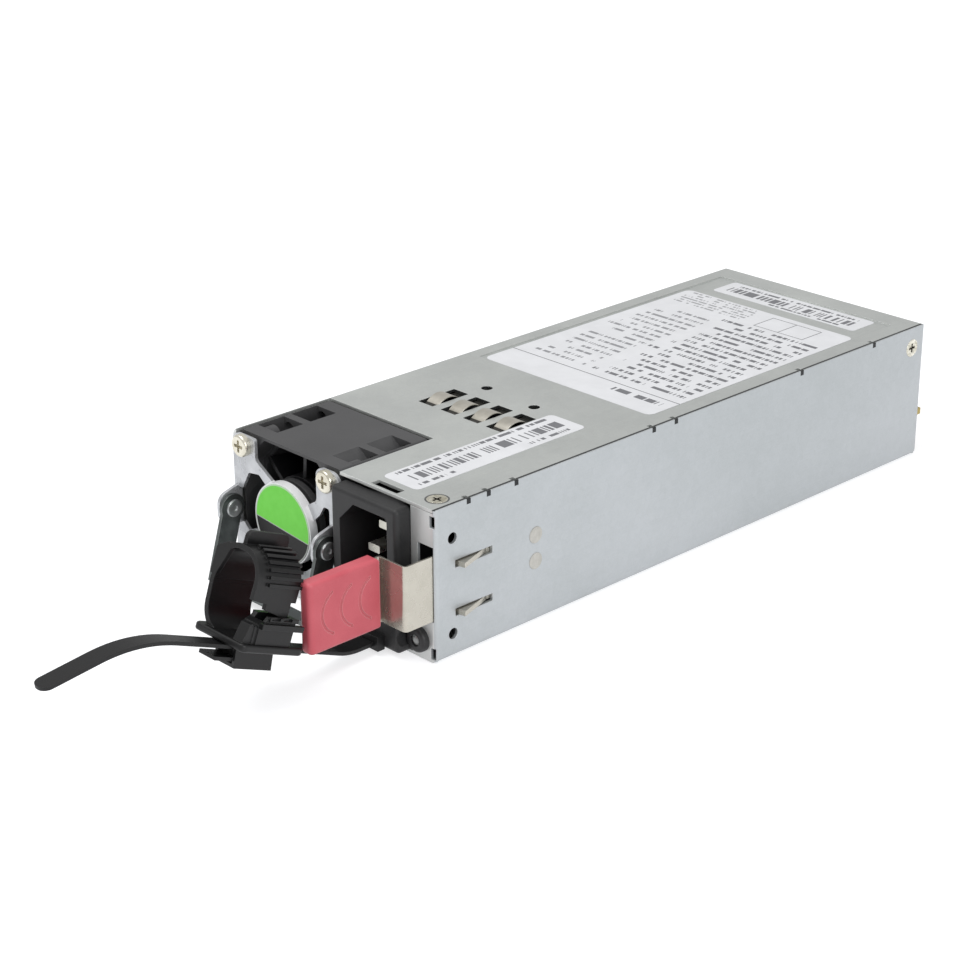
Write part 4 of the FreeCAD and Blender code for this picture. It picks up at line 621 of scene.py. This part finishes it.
# Four bosses take the screws behind the mouth, and a plate closes the motor's front.
SCREW_REACH = 16
BOSS_SIDES = 40
SCREW_BOSS = (2.5, 1.95, duct_low.y + 4.2, duct_low.y + 8.2)
MOTOR_PLATE = (10.4, 2.7, duct_low.y + 0.35, duct_low.y + 2.1)
duct_build = bmesh.new()
duct_build.from_mesh(duct_mesh)


def boss(x, z, radius, bore, start, stop):
    """A closed collar, of an outer radius and a bore, between two depths in millimetres."""
    rings = []
    for y, reach in ((start, bore), (start, radius), (stop, radius), (stop, bore)):
        rings.append([duct_build.verts.new((
            (HUB.x + x + reach * math.cos(math.tau * i / BOSS_SIDES)) * MM, y * MM,
            (HUB.z + z + reach * math.sin(math.tau * i / BOSS_SIDES)) * MM)) for i in range(BOSS_SIDES)])
    faces = []
    for first, second in zip(rings, rings[1:] + rings[:1]):
        for i in range(BOSS_SIDES):
            after = (i + 1) % BOSS_SIDES
            faces.append(duct_build.faces.new((first[i], second[i], second[after], first[after])))
    bmesh.ops.recalc_face_normals(duct_build, faces=faces)


for sign_x in (-1, 1):
    for sign_z in (-1, 1):
        boss(sign_x * SCREW_REACH, sign_z * SCREW_REACH, *SCREW_BOSS)
boss(0, 0, *MOTOR_PLATE)
duct_build.to_mesh(duct_mesh)
duct_build.free()
duct_mesh.materials.clear()
duct_mesh.materials.append(duct_nylon.material)
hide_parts("fan_frame")
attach(fan_duct, "supply")

dress(moulded("rotor_nylon", "151517", "1f1f21", 0.5, 0.015, 0.34, 0.5), "fan_rotor")

ferrite = Finish("sintered_ferrite")
ferrite_grain = ferrite.noise(0.3, 5, 0.75)
ferrite.feed(
    Base_Color=ferrite.ramp(ferrite_grain, (0.3, tone("2a2a2c")), (0.7, tone("4a494b"))),
    Roughness=ferrite.span(ferrite_grain, 0.3, 0.7, 0.55, 0.8))
ferrite.relief(ferrite_grain, 0.04, 0.3)
dress(ferrite, "rotor_magnet", "main_transformer", "resonant_choke")

dress(plated("ground_shaft", "b8babc", "dadcde", 0.14, 0.24, (1, 30, 1), "f4f4f4"), "fan_shaft")

bronze = Finish("sleeve_bronze", Metallic=0.9)
bronze_pores = bronze.noise(0.16, 4, 0.7)
bronze.feed(
    Base_Color=bronze.ramp(bronze_pores, (0.3, tone("7d5f32")), (0.68, tone("c59c58"))),
    Roughness=bronze.span(bronze_pores, 0.3, 0.7, 0.3, 0.5))
bronze.relief(bronze_pores, 0.02, 0.1)
dress(bronze, "fan_bearing")


def enamelled_copper(name, wire):
    """Copper wire in amber enamel, laid close; wire is its thickness in millimetres."""
    finish = Finish(name, Metallic=0.7, Coat_Weight=0.5, Coat_Roughness=0.12)
    shade = finish.noise(4, 3)
    turns = finish.noise(wire, 2, 0.4, stretch=(1, 1, 12))
    finish.feed(
        Base_Color=finish.ramp(shade * 0.4 + turns * 0.6, (0.34, tone("6f3216")), (0.66, tone("c06a34"))),
        Roughness=finish.span(turns, 0.3, 0.7, 0.24, 0.4))
    return finish.relief(turns, 0.08, 0.1)


copper = enamelled_copper("enamelled_copper", 0.5)
dress(copper, "fan_stator")

# ------------------------------------------------------------------ fan guard
# One die-cut zinc-plated plate screwed over the fan: pads, leaning spokes, two pivot
# ears and a raised hub disc that carries a printed sticker.
guard_zinc = plated("guard_zinc", "b2b4b7", "d2d4d7", 0.24, 0.36, (1, 1, 30), "f4f5f6")
guard_x, _, guard_z = (axis / MM for axis in guard_zinc.axes())
from_hub = ((guard_x - HUB.x) * (guard_x - HUB.x) + (guard_z - HUB.z) * (guard_z - HUB.z)) ** 0.5
# The hub disc's side wall is painted near white with less metal: a painted highlight.
hub_side_highlight = within(from_hub, 10.25, 10.9)
guard_zinc.feed(
    Base_Color=guard_zinc.mix(hub_side_highlight, guard_zinc.colour, tone("f3f4f5")),
    Metallic=0.55 - hub_side_highlight * 0.5)
dress(guard_zinc, "fan_guard")

HUB_FACE = CASE_FRONT - 2.3
STICKER_RADIUS = 10.2
STICKER_FILM = 0.12
DISC_SIDES = 72


def round_film(name, centre, face, radius, film):
    """A disc of film standing on an upright face, with a crisp eased rim."""
    mesh = bpy.data.meshes.new(name)
    build = bmesh.new()
    rings = []
    for depth, reach in ((0.0, radius), (film * 0.7, radius), (film, radius - 0.07)):
        rings.append([
            build.verts.new((
                (centre.x + reach * math.cos(math.tau * i / DISC_SIDES)) * MM, (face - depth) * MM,
                (centre.z + reach * math.sin(math.tau * i / DISC_SIDES)) * MM))
            for i in range(DISC_SIDES)])
    for ring_a, ring_b in zip(rings, rings[1:]):
        for i in range(DISC_SIDES):
            after = (i + 1) % DISC_SIDES
            build.faces.new((ring_a[i], ring_a[after], ring_b[after], ring_b[i]))
    build.faces.new(rings[-1])
    build.faces.new(list(reversed(rings[0])))
    build.normal_update()
    build.to_mesh(mesh)
    build.free()
    thing = bpy.data.objects.new(name, mesh)
    bpy.context.scene.collection.objects.link(thing)
    return thing


hub_sticker = round_film("hub_sticker", HUB, HUB_FACE - 0.005, STICKER_RADIUS, STICKER_FILM)
sticker_film = Finish("hub_sticker", Specular_IOR_Level=0.2)
across, _, up = (axis / MM for axis in sticker_film.axes())
across = across - HUB.x
up = up - HUB.z
mottle = sticker_film.noise(3, 3)
green = sticker_film.ramp(mottle, (0.3, tone("7ae452")), (0.7, tone("82ea5c")))
slate = sticker_film.ramp(mottle, (0.3, tone("1a191a")), (0.7, tone("212021")))
rim = (across * across + up * up) > (STICKER_RADIUS - 0.35) ** 2
halves = sticker_film.mix((up + across * 0.1) < -1.2, green, slate)
line = within(up + across * 0.1, -1.45, -1.2)
sticker_film.feed(
    Base_Color=sticker_film.mix(any_of(rim, line) * 0.7, halves, tone("d9dfd8")),
    Roughness=sticker_film.span(mottle, 0.3, 0.7, 0.28, 0.36))
sticker_film.relief(sticker_film.noise(1.2, 2), 0.006, 0.05)
hub_sticker.data.materials.append(sticker_film.material)
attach(hub_sticker, "supply")

# ------------------------------------------------------------------ pull bail
# A stamped steel strip bent into a U, black-zinc plated with bright cut edges, that
# swings on two headed rivets set in the guard's ears.
dress(plated("bail_steel", "4e5352", "6c7170", 0.3, 0.46, (30, 1, 1), "cdd0cf"), "handle_bail")
dress(plated("rivet_steel", "8f9394", "c3c6c6", 0.24, 0.4, bright="eceeee"), "handle_rivets")

# ------------------------------------------------------------------ mains inlet
# A glass-filled housing with three nickel-plated blades; the lamp in its corner is a
# turned black bezel round a clear lens.
black_nylon = moulded("black_nylon", "232324", "303031", 0.35, 0.025, 0.4, 0.54)
dress(black_nylon, "inlet_housing")
dress(moulded("lamp_bezel", "1f1f20", "2c2c2d", 0.3, 0.02, 0.34, 0.48), "led_bezel")
dress(plated("blade_nickel", "a8a69c", "dcdad0", 0.2, 0.34, (1, 25, 1)),
      "earth_pin", "line_pin", "neutral_pin")

lens = Finish("lamp_lens", IOR=1.49, Coat_Weight=0.4, Coat_Roughness=0.05)
lens.shader.inputs["Transmission Weight"].default_value = 0.55
lens_cloud = lens.noise(0.8, 3)
lens.feed(
    Base_Color=lens.ramp(lens_cloud, (0.3, tone("b9bdbb")), (0.7, tone("e4e7e5"))),
    Roughness=lens.span(lens_cloud, 0.3, 0.7, 0.1, 0.22))
lens.relief(lens.noise(0.5, 2), 0.02, 0.05)
dress(lens, "led_lens")

# ------------------------------------------------------------------ release latch
# A nickel-plated leaf spring, spot-welded inside the right wall, with two barbs that
# stand out of slots in it.  A red moulded thumb tab is pressed over its front end.
dress(plated("latch_nickel", "b7b3a8", "c1bdb2", 0.24, 0.3, (1, 30, 1), depth=0.001),
      "latch_spring", "latch_foot")

tab_red = Finish("tab_red")
tab_bloom = tab_red.noise(7, 3)
tab_skin = tab_red.noise(0.3, 3, 0.65)
tab_face = tab_red.ramp(tab_bloom * 0.65 + tab_skin * 0.35, (0.34, tone("c4545f")), (0.66, tone("cf626c")))
# Sharp edges are mixed towards pale pink: a painted highlight on the rounded edges.
tab_red.feed(
    Base_Color=tab_red.mix(tab_red.edges(0.5) * 0.6, tab_face, tone("f2a4a8")),
    Roughness=tab_red.span(tab_skin * 0.6 + tab_bloom * 0.4, 0.3, 0.7, 0.36, 0.5))
tab_red.relief(tab_skin, 0.02, 0.3)
dress(tab_red, "latch_tab")

# ------------------------------------------------------------------ cord strap and clamp
# A toothed nylon strap snapped into the case front carries a sliding clamp, moulded in
# the same black nylon, whose band closes round a cord.
strap_nylon = moulded("strap_nylon", "0a0a0b", "121213", 0.3, 0.02, 0.4, 0.54)
dress(strap_nylon, "ladder_strap", "strap_anchor")
clamp_nylon = moulded("clamp_nylon", "0a0a0b", "131314", 0.28, 0.02, 0.32, 0.46, 0.2)
dress(clamp_nylon, "clamp_base", "clamp_ring")

# The band bends at a thin web in its left flank, moulded in one with both halves.
hinge = next(j for j in frame["joints"] if j["name"] == "clamp_close")
hinge_place = Vector(hinge["pos_m"])
hinge_axis = Vector(hinge["axis"]).normalized()
clamp_up = Vector((1, 0, 0)).cross(hinge_axis).normalized()
if clamp_up.z < 0:
    clamp_up = -clamp_up
WEB_RISE = 0.95
WEB_THICK = 1.22
WEB_RINGS = 9
WEB_HALF_LONG = 6.41
WEB_SHIFT = 1.6
web_mesh = bpy.data.meshes.new("band_web")
web_build = bmesh.new()
web_rings = []
for step in range(WEB_RINGS):
    share = step / (WEB_RINGS - 1)
    rise = (share * 2 - 1) * WEB_RISE
    half_thick = WEB_THICK * (0.5 - 0.04 * (2 * share - 1) ** 4)
    corners = []
    for side_x, side_y in ((-1, -1), (1, -1), (1, 1), (-1, 1)):
        spot = (hinge_place + Vector((1, 0, 0)) * side_x * half_thick * MM
                + hinge_axis * (side_y * WEB_HALF_LONG - WEB_SHIFT) * MM + clamp_up * rise * MM)
        corners.append(web_build.verts.new(spot))
    web_rings.append(corners)
for lower, upper in zip(web_rings, web_rings[1:]):
    for index in range(4):
        web_build.faces.new((lower[index], lower[(index + 1) % 4], upper[(index + 1) % 4], upper[index]))
web_build.faces.new(web_rings[-1])
web_build.faces.new(list(reversed(web_rings[0])))
bmesh.ops.recalc_face_normals(web_build, faces=web_build.faces)
web_build.to_mesh(web_mesh)
web_build.free()
band_web = bpy.data.objects.new("band_web", web_mesh)
bpy.context.scene.collection.objects.link(band_web)
web_mesh.materials.append(clamp_nylon.material)
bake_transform(band_web)

# ------------------------------------------------------------------ main board
# A 1.6 mm green board on four pillars over a sheet of insulation, whose rear tongue
# ends in gold-plated contact fingers; the control board stands upright on it.
solder_mask = Finish("solder_mask", Coat_Weight=0.4, Coat_Roughness=0.2)
mask_x, mask_y, _ = (axis / MM for axis in solder_mask.axes())
TRACK_PITCH, TRACK_RUN = 1.9, 14
PAD_PITCH_X, PAD_PITCH_Y, PAD_WIDE = 4.2, 5.3, 1.2
tracks = (((mask_x / TRACK_PITCH) % 1) < 0.45) * (
    chance(solder_mask, floor_of(mask_x / TRACK_PITCH), floor_of(mask_y / TRACK_RUN), 2) > 0.42)
pads = ((mask_x % PAD_PITCH_X) < PAD_WIDE) * ((mask_y % PAD_PITCH_Y) < PAD_WIDE) * (
    chance(solder_mask, floor_of(mask_x / PAD_PITCH_X), floor_of(mask_y / PAD_PITCH_Y), 4) > 0.6)
mask_cloud = solder_mask.noise(8, 3)
mask_green = solder_mask.ramp(mask_cloud, (0.3, tone("174a33")), (0.7, tone("236046")))
CASE_BACK = CASE_HIGH.y
bare_tongue = mask_y > CASE_BACK + 0.6
tongue_base = solder_mask.ramp(mask_cloud, (0.3, tone("5d6a3c")), (0.7, tone("6d7a48")))
tongue_gold = solder_mask.mix(abs(mask_x) > 31.1, tongue_base, tone("b8a048"))
printed_mask = solder_mask.mix(
    pads, solder_mask.mix(tracks * 0.5, mask_green, tone("2f7a56")), tone("c9c7bd"))
solder_mask.feed(
    Base_Color=solder_mask.mix(bare_tongue, printed_mask, tongue_gold),
    Roughness=solder_mask.span(mask_cloud, 0.3, 0.7, 0.3, 0.42))
solder_mask.relief(tracks + pads * 2, 0.03, 0.05)
dress(solder_mask, "main_board", "control_board")

gold = Finish("gold_fingers", Metallic=0.95)
gold_wear = gold.noise(0.6, 4, 0.6, stretch=(1, 8, 1))
gold.feed(
    Base_Color=gold.ramp(gold_wear, (0.3, tone("a5853a")), (0.7, tone("d9bd6a"))),
    Roughness=gold.span(gold_wear, 0.3, 0.7, 0.22, 0.4))
gold.relief(gold_wear, 0.01, 0.05)
dress(gold, "card_fingers")

aramid = Finish("aramid_sheet")
aramid_fibre = aramid.noise(0.7, 5, 0.7, stretch=(1, 3, 1))
aramid.feed(
    Base_Color=aramid.ramp(aramid_fibre, (0.3, tone("cdbb92")), (0.7, tone("e2d4b2"))),
    Roughness=aramid.span(aramid_fibre, 0.3, 0.7, 0.55, 0.75))
aramid.relief(aramid_fibre, 0.03, 0.05)
dress(aramid, "insulator_sheet")

# ------------------------------------------------------------------ power parts
# Plain trade parts standing on the board: sleeved capacitors, a film capacitor, relay,
# fuse, rectifier and transistors, finned aluminium plates and wire-wound cores.
sleeve = Finish("capacitor_sleeve", Coat_Weight=0.5, Coat_Roughness=0.12)
sleeve_cloud = sleeve.noise(5, 3)
sleeve_fold = sleeve.noise(1.2, 3, 0.5, stretch=(1, 6, 6))
sleeve.feed(
    Base_Color=sleeve.ramp(sleeve_cloud, (0.3, tone("20232b")), (0.7, tone("333743"))),
    Roughness=sleeve.span(sleeve_fold, 0.3, 0.7, 0.24, 0.4))
sleeve.relief(sleeve_fold, 0.05, 0.3)
dress(sleeve, "bulk_capacitors", "output_capacitors")

film_box = moulded("film_box", "b39c38", "cbb650", 0.4, 0.02, 0.4, 0.55)
dress(film_box, "filter_capacitor")
dress(moulded("epoxy_black", "222223", "303031", 0.25, 0.03, 0.45, 0.62),
      "bridge_rectifier", "power_transistors", "relay")

fuse_glass = Finish("fuse_glass", IOR=1.5)
fuse_glass.shader.inputs["Transmission Weight"].default_value = 0.5
_, fuse_y, _ = (axis / MM for axis in fuse_glass.axes())
fuse_low, fuse_high = (corner.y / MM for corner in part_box("fuse"))
FUSE_CAP = 5
fuse_cap = any_of(fuse_y < fuse_low + FUSE_CAP, fuse_y > fuse_high - FUSE_CAP)
fuse_cloud = fuse_glass.noise(1.5, 3)
fuse_glass.feed(
    Base_Color=fuse_glass.mix(fuse_cap, fuse_glass.ramp(
        fuse_cloud, (0.3, tone("cfd2cf")), (0.7, tone("e6e8e5"))), tone("b9b7ae")),
    Metallic=fuse_cap * 0.9,
    Roughness=fuse_glass.span(fuse_cloud, 0.3, 0.7, 0.12, 0.25))
fuse_glass.relief(fuse_cloud, 0.01, 0.1)
dress(fuse_glass, "fuse")

fin_alloy = Finish("fin_alloy", Metallic=0.8)
fin_lines = fin_alloy.noise(0.3, 3, 0.5, stretch=(1, 60, 1))
fin_alloy.feed(
    Base_Color=fin_alloy.ramp(fin_lines, (0.3, tone("9a9da0")), (0.7, tone("c3c6c8"))),
    Roughness=fin_alloy.span(fin_lines, 0.3, 0.7, 0.3, 0.48))
fin_alloy.relief(fin_lines, 0.02, 0.1)
dress(fin_alloy, "primary_heat_sink", "secondary_heat_sink")

core_powder = Finish("powder_core")
powder = core_powder.noise(0.4, 5, 0.75)
core_powder.feed(
    Base_Color=core_powder.ramp(powder, (0.3, tone("51552e")), (0.7, tone("7d8147"))),
    Roughness=core_powder.span(powder, 0.3, 0.7, 0.5, 0.7))
core_powder.relief(powder, 0.04, 0.3)
dress(core_powder, "filter_choke", "boost_choke")


class Rig:
    """A Geometry Nodes tree with named inputs, run on an empty mesh and kept as mesh."""

    def __init__(self, name, **inputs):
        self.tree = bpy.data.node_groups.new(name, "GeometryNodeTree")
        self.tree.interface.new_socket("Geometry", in_out="OUTPUT", socket_type="NodeSocketGeometry")
        self.keys = {}
        self.values = inputs
        for key, value in inputs.items():
            kind = {int: "NodeSocketInt", float: "NodeSocketFloat"}.get(type(value), "NodeSocketMaterial")
            made = self.tree.interface.new_socket(key, in_out="INPUT", socket_type=kind)
            self.keys[key] = made.identifier
        self.inlet = self.tree.nodes.new("NodeGroupInput")

    def given(self, key):
        return self.inlet.outputs[key]

    def add(self, kind, settings, sockets, out=0):
        node = self.tree.nodes.new(kind)
        for key, value in settings.items():
            setattr(node, key, value)
        for key, value in sockets.items():
            if isinstance(value, bpy.types.NodeSocket):
                self.tree.links.new(value, node.inputs[key])
            else:
                node.inputs[key].default_value = value
        return node.outputs[out]

    def maths(self, operation, *values):
        return self.add("ShaderNodeMath", {"operation": operation}, dict(enumerate(values)))

    def make(self, name, geometry):
        """Finish the tree, run it once and return the result as a plain mesh object."""
        solid = self.add("GeometryNodeRealizeInstances", {}, {0: geometry})
        dressed = self.add("GeometryNodeSetMaterial", {}, {0: solid, "Material": self.given("Material")})
        outlet = self.tree.nodes.new("NodeGroupOutput")
        self.tree.links.new(dressed, outlet.inputs[0])
        holder = bpy.data.objects.new(name + "_rig", bpy.data.meshes.new(name + "_rig"))
        bpy.context.scene.collection.objects.link(holder)
        modifier = holder.modifiers.new(name, "NODES")
        modifier.node_group = self.tree
        for key, value in self.values.items():
            modifier[self.keys[key]] = value
        graph = bpy.context.evaluated_depsgraph_get()
        mesh = bpy.data.meshes.new_from_object(holder.evaluated_get(graph), depsgraph=graph)
        mesh.name = name
        holder.modifiers.remove(modifier)
        bpy.data.objects.remove(holder)
        thing = bpy.data.objects.new(name, mesh)
        bpy.context.scene.collection.objects.link(thing)
        return thing


TURN_CORNER = 1.9
WOUND_SHARE = 0.94


def winding(name, node, bore, wire, turns):
    """Turns of wire laid round a ring core that stands flat; bore is its inner radius."""
    low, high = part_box(node)
    middle = (low + high) / 2
    outer = (high.x - low.x) / 2
    rig = Rig(name, Turns=turns, Wire=wire * MM / 2, Wide=outer - bore * MM + wire * MM,
              Tall=high.z - low.z + wire * MM, Reach=(outer + bore * MM) / 2, Corner=TURN_CORNER * MM,
              Material=copper.material)
    frame_loop = rig.add("GeometryNodeCurvePrimitiveQuadrilateral", {"mode": "RECTANGLE"}, {
        "Width": rig.given("Wide"), "Height": rig.given("Tall")})
    loop = rig.add("GeometryNodeFilletCurve", {"mode": "POLY"}, {
        "Curve": frame_loop, "Radius": rig.given("Corner"), "Count": 4})
    section = rig.add("GeometryNodeCurvePrimitiveCircle", {}, {
        "Resolution": 8, "Radius": rig.given("Wire")})
    turn = rig.add("GeometryNodeCurveToMesh", {}, {"Curve": loop, "Profile Curve": section})
    upright = rig.add("GeometryNodeTransform", {}, {
        "Geometry": turn, "Rotation": (math.pi / 2, 0, 0)})
    spots = rig.add("GeometryNodePoints", {}, {"Count": rig.given("Turns")})
    index = rig.add("GeometryNodeInputIndex", {}, {})
    share = rig.maths("DIVIDE", index, rig.given("Turns"))
    angle = rig.maths("MULTIPLY", rig.maths("MULTIPLY", share, math.tau), WOUND_SHARE)
    spot = rig.add("ShaderNodeCombineXYZ", {}, {
        0: rig.maths("MULTIPLY", rig.maths("COSINE", angle), rig.given("Reach")),
        1: rig.maths("MULTIPLY", rig.maths("SINE", angle), rig.given("Reach"))})
    placed = rig.add("GeometryNodeSetPosition", {}, {"Geometry": spots, "Position": spot})
    turned = rig.add("ShaderNodeCombineXYZ", {}, {2: angle})
    copies = rig.add("GeometryNodeInstanceOnPoints", {}, {
        "Points": placed, "Instance": upright, "Rotation": turned})
    moved = rig.add("GeometryNodeTransform", {}, {"Geometry": copies, "Translation": tuple(middle)})
    thing = rig.make(name, moved)
    for face in thing.data.polygons:
        face.use_smooth = True
    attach(thing, "supply")


winding("filter_winding", "filter_choke", 4, 1.0, 20)
winding("boost_winding", "boost_choke", 5, 1.1, 26)
